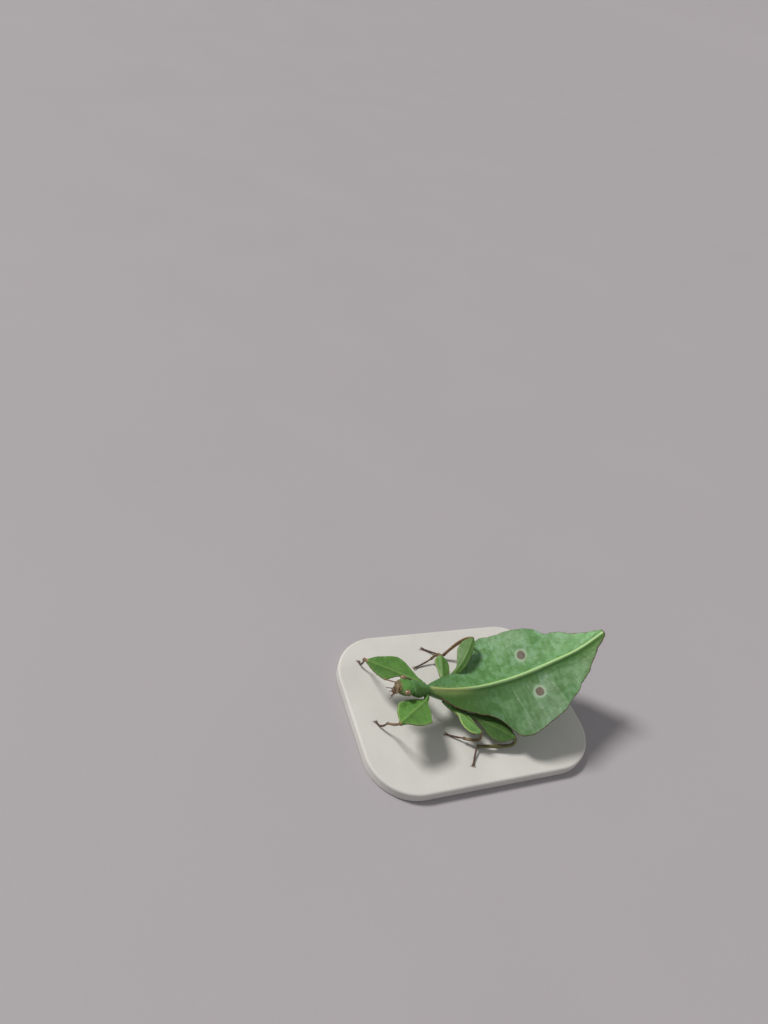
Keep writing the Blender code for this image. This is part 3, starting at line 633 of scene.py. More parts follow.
def head_relief(s, x, lift, ring):
    """Rims round the eyes, the roots of the antennae, seams of the crown and fine grain."""
    place, _, right, up = back_frame(EYE_AT)
    rise = np.zeros(len(x))
    for side in (1, -1):
        eye = place + right * side * EYE_OUT - up * EYE_DOWN
        away = np.linalg.norm(ring - eye, axis=1)
        rise += 0.07 * hump(away - EYE_RIM, 0.13)
        root = antenna_root(side)
        rise += 0.16 * hump(np.linalg.norm(ring - root, axis=1), 0.34)
    crown = np.clip(lift, 0, 1)
    rise -= 0.05 * hump(x, 0.09) * crown * hump(s - 2.1, 1.0)
    rise -= 0.06 * hump(s - 3.05, 0.1) * np.clip(lift + 0.4, 0, 1)
    rise -= 0.04 * hump(s - 0.75 - 0.25 * abs(x), 0.08) * crown
    rise += 0.05 * hump(abs(x) - 0.62, 0.25) * crown * hump(s - 2.2, 0.6)
    return rise + 0.018 * ripple(ring, 0.7, seed=6)


def pronotum_relief(s, x, lift, ring):
    """A middle groove, a cross groove and raised side rims."""
    crown = np.clip(lift, 0, 1)
    rise = -0.06 * hump(x, 0.1) * crown * hump(s - 4.8, 0.9)
    rise -= 0.07 * hump(s - 5.0 - 0.12 * x * x, 0.13) * crown
    rise += 0.05 * hump(lift - 0.25, 0.14) * hump(s - 4.9, 1.1)
    rise += 0.05 * hump(s - 3.85, 0.12) * np.clip(lift + 0.3, 0, 1)
    return rise + 0.02 * ripple(ring, 0.8, seed=7)


# Legs


def leg_axes(leg):
    """Hip, the direction along the femur, its length, up from its lobes and to the rear."""
    hip = np.array(leg["hip"], float)
    reach = np.array(leg["knee"], float) - hip
    along = unit(reach)
    up = np.array(leg["up"], float)
    up = unit(up - along * (up @ along))
    rear = leg["side"] * np.cross(along, up)
    return hip, along, np.linalg.norm(reach), up, rear


def coxa_form(leg):
    """Coxa and the small ring of the trochanter behind the hip."""
    hip, along = leg_axes(leg)[:2]
    root = np.array(leg["root"], float)
    mid = (root + hip) / 2 - along * 0.3
    line = evenly(curve([root, mid, hip + along * 0.25], 20), 24)
    t = np.linspace(0, 1, 24)
    radii = COXA * (1.0 + 0.08 * hump(t - 0.45, 0.3) - 0.14 * t - 0.14 * hump(t - 0.72, 0.035))
    rings = circle_rings(line, radii, 28, ridges=0.02, end=along)
    # Coxae take their leg's painted light, a little darker for painted shade under the body
    marks = mark_rows(rings.shape[:2], lobe=1.0, across=0.8,
                      top=np.sin(turns(rings.shape[1])) / 2 + 0.5, tone=leg["painted_light"] * 0.85)
    return Form(rings, marks, flat=False)


def lobe_half(leg, name, t):
    """Width of a lobe with its small teeth towards the knee."""
    width = smooth(LOBE_AT, leg[name], np.clip(t, 0, 1))
    leaf = np.clip((width - 0.5) / 0.6, 0, 1)
    teeth = abs(((t * LOBE_TEETH) % 1) - 0.5) * 2
    return width + leaf * (TOOTH * teeth * np.clip((t - 0.45) * 4, 0, 1) - 0.02)


def femur_form(leg, lobe):
    """The femur's shaft between its two leaf-like lobes."""
    hip, along, length, up, rear = leg_axes(leg)
    bend = np.array(leg["bend"], float)
    stations = np.concatenate([
        np.linspace(-0.01, LOBE_CLOSE, 84), [0.995, 1.005, 1.015, 1.025, 1.03]])
    rings = []
    marks = []
    half = lobe / 2
    for t in stations:
        back = float(lobe_half(leg, "rear", t))
        fore = float(lobe_half(leg, "front", t))
        close = math.sqrt(max(1 - max((t - LOBE_CLOSE) / 0.05, 0) ** 2, 0.05))
        shaft = SHAFT * close * (1 + 0.1 * hump(t - 0.97, 0.03))
        way = np.array([0.03, 0.09, 0.2, 0.35, 0.5, 0.65, 0.8, 0.9])
        inner = min(0.36, fore * 0.5, back * 0.5)
        v = np.concatenate([
            -fore + way * (fore - inner), np.linspace(-inner, inner, 13),
            back - way[::-1] * (back - inner)]) * close
        edge = np.minimum(fore * close + v, back * close - v)
        flat = half * np.sqrt(np.clip(1 - np.clip(1 - edge / 0.12, 0, 1) ** 2, 0.05, 1))
        high = flat + np.maximum(shaft - half, 0) * hump(v, 0.45)
        origin = hip + along * (t * length) + bend * math.sin(math.pi * np.clip(t, 0, 1) ** 0.6)
        middle = origin + np.outer(v, rear)
        reach = np.clip((abs(v) - 0.5) / 0.6, 0, 1)
        vein = hump((t * length - NERVE_LEAN * abs(v)) % NERVE_GAP - NERVE_AT, 0.09)
        vein *= reach * np.clip(edge / 0.3, 0, 1)
        wave = reach * (0.05 * ripple(middle, 1.9, seed=8) - LOBE_FALL * (abs(v) - 0.5))
        top = middle + np.outer(wave + high + 0.012 * vein, up)
        low = middle + np.outer(wave - high - 0.012 * vein, up)
        first = origin - rear * fore * close + up * wave[0]
        last = origin + rear * back * close + up * wave[-1]
        rings.append(around(first, top, last, low))
        across = around(-fore, v, back)
        leaf = np.clip((max(back, fore) - 0.45) / 0.4, 0, 1)
        marks.append(mark_rows(
            across.shape, along=t * length, across=across, lobe=1.0, head=leg["pale"],
            tone=leg["painted_light"], edge=around(0.0, edge, 0.0) + (1 - leaf) * 0.6,
            shin=0.9 * np.clip((t - 0.99) / 0.02, 0, 1),
            top=facing(len(v))))
    return Form(np.array(rings), np.array(marks), flat=True)


def tibia_form(leg):
    """The shin, with four low ridges, a knob at the knee and a flare at the ankle."""
    knee = np.array(leg["knee"], float)
    count = 64
    line = evenly(curve([knee, *leg["shin"], leg["ankle"]], 60), count)
    t = np.linspace(0, 1, count)
    radii = TIBIA * leg["thick"] * (0.8 + 0.22 * hump(t - 0.5, 0.35))
    radii = radii + TIBIA * (0.18 * hump(t, 0.05) + 0.2 * hump(t - 0.97, 0.05))
    radii[-1] *= 0.8
    rings = circle_rings(line, radii, 28, ridges=0.07, flat=0.85)
    turn = turns(rings.shape[1])
    marks = mark_rows(rings.shape[:2], along=t[:, None], across=np.cos(turn), shin=1.0,
                      top=np.sin(turn) / 2 + 0.5, tone=leg["tone"])
    return Form(rings, marks, flat=False)


def foot_line(leg):
    """Middle line of the five foot segments, from the ankle down on to the base."""
    ankle = np.array(leg["ankle"], float)
    claw = np.array(leg["claw"], float)
    level = STAND_TOP + TARSUS * 1.1
    mid = ankle + (claw - ankle) * 0.5
    mid[2] = max(level, mid[2] - 0.4 * abs(ankle[2] - level))
    tip = claw.copy()
    tip[2] = level + 0.05
    line = evenly(curve([ankle, mid, tip], 60), 90)
    line[:, 2] = np.maximum(line[:, 2], level)
    return line


def tarsus_form(leg):
    """Five foot segments, each flared at its end."""
    line = foot_line(leg)
    t = np.linspace(0, 1, len(line))
    radii = np.full(len(t), TARSUS * 0.82)
    for start, end in zip(FOOT_ENDS[:-1], FOOT_ENDS[1:]):
        radii += TARSUS * 0.27 * hump((t - end) + 0.03, 0.03)
        radii -= TARSUS * 0.16 * hump(t - start - 0.008, 0.012)
    radii[-1] *= 0.6
    rings = circle_rings(line, radii, 20)
    rings[..., 2] = np.maximum(rings[..., 2], STAND_TOP + 0.01)
    marks = mark_rows(rings.shape[:2], along=t[:, None], foot=1.0,
                      top=np.sin(turns(rings.shape[1])) / 2 + 0.5, tone=leg["tone"])
    return Form(rings, marks, flat=False)


def fuse(name, forms):
    """One skin from the forms, with the marks of the nearest source point on each of its own."""
    body = forms[0].build(name)
    group = bpy.data.collections.new("forms")
    bpy.context.scene.collection.children.link(group)
    for i, form in enumerate(forms[1:]):
        part = form.build(f"form_{i}")
        bpy.context.scene.collection.objects.unlink(part)
        group.objects.link(part)
    union = body.modifiers.new("union", "BOOLEAN")
    union.operation = "UNION"
    union.operand_type = "COLLECTION"
    union.collection = group
    union.solver = "MANIFOLD"
    bpy.context.view_layer.update()
    mesh = bpy.data.meshes.new_from_object(body.evaluated_get(bpy.context.evaluated_depsgraph_get()))
    body.modifiers.clear()
    body.data = mesh
    for part in list(group.objects):
        bpy.data.objects.remove(part, do_unlink=True)
    bpy.data.collections.remove(group)
    mark_skin(mesh, np.vstack([form.points for form in forms]),
              np.vstack([form.marks for form in forms]))
    return body


def mark_skin(mesh, points, marks):
    """Gives each point of the mesh the marks of the nearest of the points."""
    tree = KDTree(len(points))
    for i, point in enumerate(points):
        tree.insert(point, i)
    tree.balance()
    own = np.zeros(len(mesh.vertices) * 3)
    mesh.vertices.foreach_get("co", own)
    own = own.reshape(-1, 3) / MM - SHIFT
    write_marks(mesh, marks[[tree.find(point)[1] for point in own]], MARKS)


def write_marks(mesh, marks, labels):
    """Keeps marks on the mesh as one vector attribute for each label."""
    for k, label in enumerate(labels):
        layer = mesh.attributes.new(label, "FLOAT_VECTOR", "POINT")
        layer.data.foreach_set("vector", marks[:, 3 * k:3 * k + 3].astype(np.float32).ravel())


# Small parts of the head and feet


def antenna_root(side):
    """Middle of an antenna's socket."""
    place, along, right, up = back_frame(ANTENNA_AT)
    return place + right * side * 0.46 - up * 0.66 - along * 0.02


def antenna_form(side):
    """Nine segments: a stout root, a short ring, a thin lash and a club at the end."""
    along, right, up = back_frame(ANTENNA_AT)[1:]
    forward, outward, upward = ANTENNA_AIM[side]
    aim = unit(-along * forward + right * side * outward + up * upward)
    root = antenna_root(side) - aim * 0.1
    t = np.linspace(0, 1, 110)
    reach = (t * ANTENNA_LENGTH)[:, None]
    line = root + aim * reach - up * 0.035 * reach ** 2 + right * side * 0.02 * reach ** 2
    radii = ANTENNA_HALF + 0.09 * hump(t - 0.085, 0.07) + 0.035 * hump(t - 0.92, 0.08)
    for end in ANTENNA_ENDS[:-1]:
        radii -= 0.022 * hump(t - end, 0.012)
        radii += 0.012 * hump(t - end + 0.03, 0.02)
    radii *= np.sqrt(np.clip(1 - np.clip((t - 0.95) / 0.05, 0, 1) ** 2, 0.02, 1))
    rings = circle_rings(line, radii, 24)
    marks = mark_rows(rings.shape[:2], along=t[:, None],
                      across=(np.searchsorted(ANTENNA_ENDS, t) % 2)[:, None])
    return Form(rings, marks, flat=False)


def ball_form(centre, radii, axes, rows, sides):
    """A ball with three radii along its own three axes."""
    a = np.linspace(0, math.pi, rows + 2)[1:-1]
    b = turns(sides)
    flat = (np.outer(np.sin(a), np.cos(b))[..., None] * radii[0] * axes[0]
            + np.outer(np.sin(a), np.sin(b))[..., None] * radii[2] * axes[2]
            - np.outer(np.cos(a), np.ones(sides))[..., None] * radii[1] * axes[1])
    return Form(centre + flat, mark_rows(flat.shape[:2]), flat=False)


def spindle_form(start, end, wide, deep, tip=0.35, bulge=0.35, curl=(0, 0, 0)):
    """A closed rounded piece from start to end, widest a little behind its start."""
    start = np.asarray(start, float)
    end = np.asarray(end, float)
    t = np.linspace(0, 1, 22)
    line = start + np.outer(t, end - start) + np.outer(t * (1 - t) * 4, curl)
    body = np.sqrt(np.clip(1 - ((t - bulge) / np.where(t < bulge, bulge + 0.02, 1.02 - bulge)) ** 2,
                           0.02, 1))
    radii = body * (1 - (1 - tip) * t)
    rings = circle_rings(line, radii * wide, 18, flat=deep / wide)
    return Form(rings, mark_rows(rings.shape[:2]), flat=False)


def eye_form(side):
    """An eye, longest along the head and turned a little up and forward."""
    place, along, right, up = back_frame(EYE_AT)
    centre = place + right * side * EYE_OUT - up * EYE_DOWN
    out = unit(right * side + up * 0.2 - along * 0.15)
    length = unit(along - out * (along @ out))
    return ball_form(centre, EYE_RADIUS, (length, out, np.cross(length, out)), 40, 56)


def mouth_feeler(start, aim, reach, count):
    """The segments of one mouth feeler, each a little thinner than the one before."""
    aim = unit(aim)
    step = reach / count
    forms = []
    for k in range(count):
        thin = FEELER_HALF - 0.006 * k
        forms.append(spindle_form(start + aim * step * k, start + aim * step * (k + 1.25),
                                  thin, thin, tip=0.9, bulge=0.55))
    return forms


def jaw_forms():
    """Upper lip, jaws and their inner blades, two pairs of feelers, and lower lip."""
    place, along, right, up = back_frame(JAWS_AT)
    chin = place - up * CHIN_DOWN
    forms = [spindle_form(chin - along * 0.32, chin - along * 0.42 - up * 0.75, 0.52, 0.16,
                          tip=0.7, bulge=0.45)]
    for side in (1, -1):
        out = right * side
        forms.append(spindle_form(chin + out * 0.5, chin + out * 0.16 - up * 0.85 - along * 0.2,
                                  0.3, 0.26, tip=0.4, curl=out * 0.14))
        forms.append(spindle_form(chin + out * 0.42 + along * 0.3,
                                  chin + out * 0.3 - up * 0.8 + along * 0.18, 0.2, 0.18))
        forms += mouth_feeler(chin - up * 0.45 + out * 0.5,
                              out * 0.5 - up * 0.62 - along * 0.6, 1.4, 5)
        forms += mouth_feeler(chin - up * 0.5 + out * 0.22 + along * 0.12,
                              out * 0.2 - up * 0.7 - along * 0.4, 1.0, 3)
    forms.append(spindle_form(chin + along * 0.45, chin - up * 0.75 + along * 0.2, 0.4, 0.22, tip=0.6))
    return forms


def claw_forms(leg, length):
    """The two claws of a foot and the pad between them, on the base."""
    line = foot_line(leg)
    aim = line[-1] - line[-6]
    aim[2] = 0
    aim = unit(aim)
    across = np.cross((0, 0, 1), aim)
    tip = line[-1] - aim * 0.06
    t = np.linspace(0, 1, 26)
    forms = []
    for side in (1, -1):
        end = tip + unit(aim + across * side * CLAW_SPREAD) * length
        end[2] = STAND_TOP + 0.03
        path = tip + across * side * 0.06 + np.outer(t, end - tip)
        path[:, 2] += CLAW_ARCH * np.sin(math.pi * t ** 0.8)
        rings = circle_rings(path, CLAW_HALF * (1 - t) ** 0.7 + 0.012, 14)
        forms.append(Form(rings, mark_rows(rings.shape[:2]), flat=False))
    pad = tip + aim * 0.26
    pad[2] = STAND_TOP + 0.1
    forms.append(ball_form(pad, CLAW_PAD, (aim, across, np.cross(aim, across)), 14, 20))
    return forms


def joined(name, forms):
    """One object from several closed forms, each left whole."""
    points = []
    faces = []
    marks = []
    start = 0
    for form in forms:
        points.append(form.points)
        marks.append(form.marks)
        faces += [[i + start for i in face] for face in form.faces]
        start += len(form.points)
    made = new_object(name, (np.vstack(points) + SHIFT) * MM, faces)
    write_marks(made.data, np.vstack(marks), ["place"])
    return made


def finish_piece(piece, material, nodes, sharp=60):
    """Gives a piece its material and smooth shading, hangs it on the root body, and hides the frame's
    nodes that it stands for.
    """
    piece.data.materials.clear()
    piece.data.materials.append(material)
    piece.data.shade_smooth()
    piece.data.set_sharp_from_angle(angle=math.radians(sharp))
    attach(piece, "root")
    if nodes:
        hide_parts(*nodes)


# Materials


def both_ways(operation):
    """Methods for an operator and for its reflected form, each adding one Math node."""
    def plain(self, other):
        return self.math(operation, self, other)

    def reflected(self, other):
        return self.math(operation, other, self)

    return plain, reflected


class Wire:
    """A node's output, on which arithmetic adds Math nodes."""

    def __init__(self, sheet, socket):
        self.sheet = sheet
        self.socket = socket

    def math(self, operation, *values):
        return self.sheet.node("ShaderNodeMath", {"operation": operation}, dict(enumerate(values)))

    __add__, __radd__ = both_ways("ADD")
    __sub__, __rsub__ = both_ways("SUBTRACT")
    __mul__, __rmul__ = both_ways("MULTIPLY")
    __truediv__, __rtruediv__ = both_ways("DIVIDE")
    __pow__, __rpow__ = both_ways("POWER")
    __mod__, __rmod__ = both_ways("FLOORED_MODULO")

    def __neg__(self):
        return self.math("MULTIPLY", self, -1.0)

    def __abs__(self):
        return self.math("ABSOLUTE", self)

    def most(self, other):
        return self.math("MAXIMUM", self, other)

    def root(self):
        return self.math("SQRT", self)

    def hump(self, width):
        """The same bell as in the shapes."""
        scaled = self / width
        return self.math("EXPONENT", -(scaled * scaled))

    def ramp(self, low, high, bottom=0.0, top=1.0):
        """From bottom to top, smoothly, as the value goes from low to high."""
        sockets = {"Value": self, "From Min": low, "From Max": high, "To Min": bottom, "To Max": top}
        return self.sheet.node("ShaderNodeMapRange", {"interpolation_type": "SMOOTHSTEP"}, sockets)

    def parts(self):
        return self.sheet.node("ShaderNodeSeparateXYZ", {}, {"Vector": self}, outputs=3)


class Sheet:
    """A material whose nodes are added by expressions."""

    def __init__(self, name):
        self.material = bpy.data.materials.new(name)
        self.material.use_nodes = True
        self.tree = self.material.node_tree
        self.shader = self.tree.nodes["Principled BSDF"]

    def node(self, kind, settings, sockets, outputs=1):
        """Adds a node: its settings first, then the values or links of its sockets."""
        made = self.tree.nodes.new(kind)
        for key, value in settings.items():
            setattr(made, key, value)
        for key, value in sockets.items():
            self.plug(made, key, value)
        live = [Wire(self, out) for out in made.outputs if out.enabled]
        return live[0] if outputs == 1 else live[:outputs]

    def plug(self, node, key, value):
        """Links a wire to a node's socket, by name or number, or sets the socket's value."""
        if isinstance(key, int):
            socket = node.inputs[key]
        else:
            socket = next(s for s in node.inputs if s.name == key and s.enabled)
        if isinstance(value, Wire):
            self.tree.links.new(value.socket, socket)
        elif socket.type == "RGBA":
            socket.default_value = (*tuple(value)[:3], 1.0)
        else:
            socket.default_value = value

    def marks(self, name):
        return self.node("ShaderNodeAttribute", {"attribute_name": name}, {}, outputs=2)[1].parts()

    def spot(self):
        """Places on the object in millimetres."""
        return self.scaled(self.node("ShaderNodeTexCoord", {}, {}, outputs=4)[3], 1 / MM)

    def noise(self, place, scale, detail=3.0, rough=0.55, bend=0.0):
        sockets = {"Vector": place, "Scale": scale, "Detail": detail, "Roughness": rough,
                   "Distortion": bend}
        return self.node("ShaderNodeTexNoise", {}, sockets)

    def cells(self, place, scale):
        return self.node("ShaderNodeTexVoronoi", {}, {"Vector": place, "Scale": scale})

    def mix(self, share, first, second):
        """Colour going from first to second as share goes from 0 to 1."""
        sockets = {"Factor": share, "A": first, "B": second}
        return self.node("ShaderNodeMix", {"data_type": "RGBA"}, sockets)

    def scaled(self, vector, amount):
        """A place, or a colour made lighter or darker, times a number."""
        sockets = {"Vector": vector, "Scale": amount}
        return self.node("ShaderNodeVectorMath", {"operation": "SCALE"}, sockets)

    def finish(self, colour, rough, height, depth, **fixed):
        """Colour, roughness and bump go in, with the values that are the same all over."""
        bump = self.node("ShaderNodeBump", {}, {"Height": height, "Distance": depth, "Strength": 1.0})
        self.plug(self.shader, "Base Color", colour)
        self.plug(self.shader, "Roughness", rough)
        self.plug(self.shader, "Normal", bump)
        for key, value in fixed.items():
            self.shader.inputs[key.replace("_", " ")].default_value = value
        return self.material


def skin_marks(sheet):
    """Marks of the skin's points, and the noises that its colours share."""
    here = SimpleNamespace()
    for label, names in MARKS.items():
        for name, part in zip(names, sheet.marks(label)):
            setattr(here, name, part)
    here.out = abs(here.across)
    here.upper = here.top.ramp(0.55, 0.85)
    here.place = sheet.spot()
    here.patch = sheet.noise(here.place, 0.6, 4.0, 0.58, 0.35)
    here.fleck = sheet.noise(here.place, 2.3, 4.0, 0.62)
    here.fine = sheet.noise(here.place, 7.0, 3.0, 0.6)
    here.wander = (here.patch - 0.5) * 1.6
    here.ragged = here.fleck.ramp(0.35, 0.7, 0.05, 0.15)
    return here


def mottled_green(sheet, colours, here):
    """Thorax and abdomen: shade and pale mottling in patches, side veins, a painted sheen near the
    margin and painted shade beside the rib, darker towards the front, partly in painted shade, and
    painted light that darkens the left half and lightens the tail's right.
    """
    broad = sheet.noise(here.place, 0.17, 2.0)
    green = sheet.mix(here.patch.ramp(0.57, 0.38) * 0.5, colours.leaf, colours.shade)
    bloom_and_sheen = here.patch.ramp(0.47, 0.64) * 0.42 + here.fleck.ramp(0.5, 0.68) * 0.22
    # Painted sheen: paler bluish green near the margin
    bloom_and_sheen = bloom_and_sheen + here.edge.ramp(2.4, 0.9) * here.fleck.ramp(0.42, 0.6) * 0.3
    bloom_and_sheen = bloom_and_sheen * broad.ramp(0.36, 0.6, 0.5, 1.0) * here.along.ramp(13, 22, 0.5, 1.0)
    bloom_and_sheen = bloom_and_sheen * here.along.ramp(33, 40, 1.0, 0.4)
    # Less bloom on the left half, part of its painted shade
    green = sheet.mix(bloom_and_sheen * here.across.ramp(-5, 2, 0.6, 1.0), green, colours.bloom_and_sheen)
    veins = ((here.along - here.out * VEIN_LEAN + here.wander) % VEIN_GAP - VEIN_GAP / 2).hump(0.12)
    veins = veins * here.out.ramp(0.8, 2.2)
    green = sheet.mix(veins * 0.04, green, colours.bloom_and_sheen)
    # Painted shade: a dark band along the left side of the rib, where the ridge shades the skin
    beside = (here.across + 0.6).hump(0.3) * 0.75 + (here.across + 1.3).hump(1.0) * 0.35
    green = sheet.mix(beside * here.along.ramp(12.5, 18) * here.upper, green, colours.shade)
    # Darker towards the front: the thorax's own darker green, with painted shade added on the left
    # where the thorax shades the abdomen
    left = here.across.ramp(0.3, -0.6)
    front = here.along.ramp(20, 12) * (left * 0.25 + 0.12) + here.along.ramp(7.7, 6.7) * 0.35
    green = sheet.mix(front, green, colours.shade)
    warm = here.along.ramp(21, 13).most(here.along.ramp(36, 42)) * left * 0.7
    green = sheet.mix(warm, green, colours.lobe)
    # Painted light: the left half darker and the right of the tail lighter, as the light falls on the
    # two slopes of the abdomen
    light = 0.88 + here.along.ramp(30, 36) * 0.12 - left * (here.along.ramp(23, 17) * 0.11 + 0.26)
    light = light + here.along.ramp(38, 44) * here.across.ramp(0.3, 1.2) * 0.3
    return sheet.scaled(green, light)


def with_midrib(sheet, colours, here, green):
    """The pale midrib, finer towards the tail, and a glow beside its front."""
    colour = sheet.mix(here.along.ramp(12, 20), colours.rib, colours.rib_tail)
    rib = (abs(here.across - 0.05) * here.along.ramp(30, 45, 1.0, 1.4)).ramp(0.5, 0.14)
    green = sheet.mix(rib * here.along.ramp(6.8, 7.8) * here.upper * 0.92, green, colour)
    glow = (here.across + 0.35).hump(0.8) * here.along.ramp(19, 12)
    glow = glow * here.along.ramp(7.2, 8.6) * here.upper
    return sheet.mix(glow * 0.3, green, colours.rib)


def with_eyespots(sheet, colours, here, green):
    """The two brown eyespots, ragged at the rim, each with a pale halo."""
    ring = ((here.along - SPOT_ALONG - here.across * 0.05) / 0.9) ** 2
    ring = (ring + (here.out - SPOT_ACROSS) ** 2).root() + (here.fleck - 0.5) * 0.45
    green = sheet.mix(ring.ramp(1.7, 1.0) * 0.7 * here.upper, green, colours.halo)
    paler = sheet.mix(0.5, colours.spot, colours.rim)
    spotted = sheet.mix(here.fine.ramp(0.3, 0.75), colours.spot, paler)
    return sheet.mix(ring.ramp(1.02, 0.8) * 0.9 * here.upper, green, spotted)


def with_margin(sheet, colours, here, green):
    """The brown margin with its dots and dark tip, the paler, plainer belly, and painted shade on the
    pronotum's lower sides.
    """
    rim = (here.edge - here.ragged).ramp(0.05, -0.03) * here.along.ramp(8.5, 10.5)
    dots = ((here.along + here.fleck * 0.8) % 1.6 - 0.8).hump(0.28) * here.edge.ramp(0.42, 0.18)
    dark = rim.most(dots * here.along.ramp(35, 38) * 0.85).most(here.along.ramp(44.6, 44.85))
    green = sheet.mix(dark * 0.85, green, colours.rim)
    belly = sheet.mix(0.35, colours.leaf, colours.bloom_and_sheen)
    green = sheet.mix(here.top.ramp(0.45, 0.05) * 0.6 * (1 - dark), green, belly)
    # Painted shade: the pronotum's lower sides darker olive brown
    side = here.top.ramp(0.55, 0.2) * here.along.ramp(7.9, 7.2)
    return sheet.mix(side * 0.75, green, colours.cheek_shade)


def head_green(sheet, colours, here):
    """Green crown, with the face and the underside of the head olive brown: the face's own brown in
    front, and painted shade underneath.
    """
    crown = sheet.mix(here.patch.ramp(0.6, 0.4) * 0.4, colours.head, colours.shade)
    crown = sheet.mix(here.fleck.ramp(0.52, 0.68) * 0.2, crown, colours.bloom_and_sheen)
    # Painted shade under the head, with the face's own brown in front
    face = here.along.ramp(1.25, 0.55).most(here.top.ramp(0.66, 0.32))
    brown = sheet.mix(here.fleck.ramp(0.45, 0.65), colours.cheek_shade, colours.feeler)
    return sheet.mix(face, crown, brown)


def lobe_green(sheet, colours, here):
    """Lobes of the legs: mottled, with a pale shaft, fine nerves, pale edges, painted light and shade
    for each leg, and a thin rim.
    """
    leaf = sheet.mix(here.patch.ramp(0.58, 0.38) * 0.45, colours.lobe, colours.shade)
    leaf = sheet.mix(here.fleck.ramp(0.48, 0.68) * 0.16, leaf, colours.bloom_and_sheen)
    leaf = sheet.mix((here.across + here.wander * 0.1).hump(0.15) * 0.22, leaf, colours.lobe_rim)
    nerve = (here.along - here.out * NERVE_LEAN + here.wander * 0.5) % NERVE_GAP - NERVE_AT
    nerve = nerve.hump(0.07)
    leaf = sheet.mix(nerve * here.out.ramp(0.4, 0.9) * 0.09, leaf, colours.lobe_rim)
    pale = (here.edge + (here.fleck - 0.5) * 0.35).ramp(0.5, 0.04) * here.head
    leaf = sheet.mix(pale * here.across.ramp(0.6, -0.4, 0.55, 1.0), leaf, colours.lobe_rim)
    # Painted light and shade: each leg's lobes lighter or darker by how the light falls on them
    leaf = sheet.scaled(leaf, here.tone)
    thin = (here.edge - here.ragged * 0.5).ramp(0.04, -0.03)
    return sheet.mix(thin * 0.7, leaf, colours.rim)


def shin_brown(sheet, colours, here):
    """Olive to brown shins, darker at the sides and towards the foot, with pale flecks."""
    shank = sheet.mix(here.tone, colours.shin, colours.shin_brown)
    shank = sheet.mix(here.out.ramp(0.6, 1.0) * 0.5, shank, colours.foot)
    shank = sheet.mix(here.fleck.ramp(0.52, 0.7) * 0.3, shank, colours.lobe_rim)
    return sheet.mix(here.along.ramp(0.86, 1.0) * (1 - here.lobe) * 0.8, shank, colours.foot)


def leaf_skin(colours, grain):
    """The one skin: body, head, lobes, shins and feet, with a fine pitted grain."""
    sheet = Sheet("leaf_skin")
    here = skin_marks(sheet)
    skin = mottled_green(sheet, colours, here)
    for marking in (with_midrib, with_eyespots, with_margin):
        skin = marking(sheet, colours, here, skin)
    skin = sheet.mix(here.head, skin, head_green(sheet, colours, here))
    skin = sheet.mix(here.lobe, skin, lobe_green(sheet, colours, here))
    skin = sheet.mix(here.shin, skin, shin_brown(sheet, colours, here))
    sole = sheet.mix(here.fleck.ramp(0.5, 0.75) * 0.35, colours.foot, colours.shin_brown)
    skin = sheet.mix(here.foot, skin, sole)
    skin = sheet.scaled(skin, here.fine.ramp(0.25, 0.75, 0.86, 1.12))
    pits = sheet.cells(here.place, 5.5).ramp(0.0, 0.55)
    height = pits * 0.4 + here.fine * 0.5 + here.fleck * 0.35 + sheet.noise(here.place, 18.0, 2.0) * 0.2
    return sheet.finish(skin, here.fleck.ramp(0.3, 0.7, 0.42, 0.58), height, grain,
                        Subsurface_Weight=0.12, Subsurface_Radius=(0.4, 0.9, 0.15),
                        Subsurface_Scale=0.35 * MM, Specular_IOR_Level=0.42)


def eye_gloss(colours):
    """Glossy tan with fine facets and darker bands."""
    sheet = Sheet("eye_gloss")
    place = sheet.spot()
    facets = sheet.cells(place, 13.0)
    cloud = sheet.noise(place, 2.2, 3.0, 0.6, 0.6)
    darker = sheet.mix(0.5, colours.eye, colours.foot)
    colour = sheet.mix(cloud.ramp(0.62, 0.38) * 0.65, colours.eye, darker)
    colour = sheet.scaled(colour, facets.ramp(0.0, 0.6, 1.1, 0.82))
    rough = cloud.ramp(0.3, 0.7, 0.16, 0.26)
    return sheet.finish(colour, rough, facets.ramp(0.6, 0.0), 0.012 * MM, Coat_Weight=0.35)


def feeler_brown(colours):
    """Banded brown of the antennae."""
    sheet = Sheet("feeler_brown")
    band = sheet.marks("place")[1]
    place = sheet.spot()
    fleck = sheet.noise(place, 4.0, 3.0)
    colour = sheet.mix(band * 0.6, colours.feeler, sheet.mix(0.5, colours.feeler, colours.foot))
    colour = sheet.mix(fleck.ramp(0.5, 0.7) * 0.4, colour, colours.eye)
    height = fleck + sheet.noise(place, 14.0, 2.0) * 0.5
    return sheet.finish(colour, fleck.ramp(0.3, 0.7, 0.4, 0.6), height, 0.02 * MM)


def jaw_brown(colours):
    """Brown of jaws and their feelers, paler in flecks."""
    sheet = Sheet("jaw_brown")
    place = sheet.spot()
    fleck = sheet.noise(place, 3.0, 3.0)
    colour = sheet.mix(fleck.ramp(0.4, 0.7) * 0.6, colours.foot, colours.feeler)
    height = fleck + sheet.noise(place, 12.0, 2.0) * 0.5
    return sheet.finish(colour, fleck.ramp(0.3, 0.7, 0.32, 0.5), height, 0.02 * MM)


def claw_horn(colours):
    """Dark horn, browner in flecks."""
    sheet = Sheet("claw_horn")
    fleck = sheet.noise(sheet.spot(), 5.0, 2.0)
    colour = sheet.mix(fleck.ramp(0.35, 0.7) * 0.5, colours.foot, colours.shin_brown)
    return sheet.finish(colour, fleck.ramp(0.3, 0.7, 0.2, 0.35), fleck, 0.01 * MM)


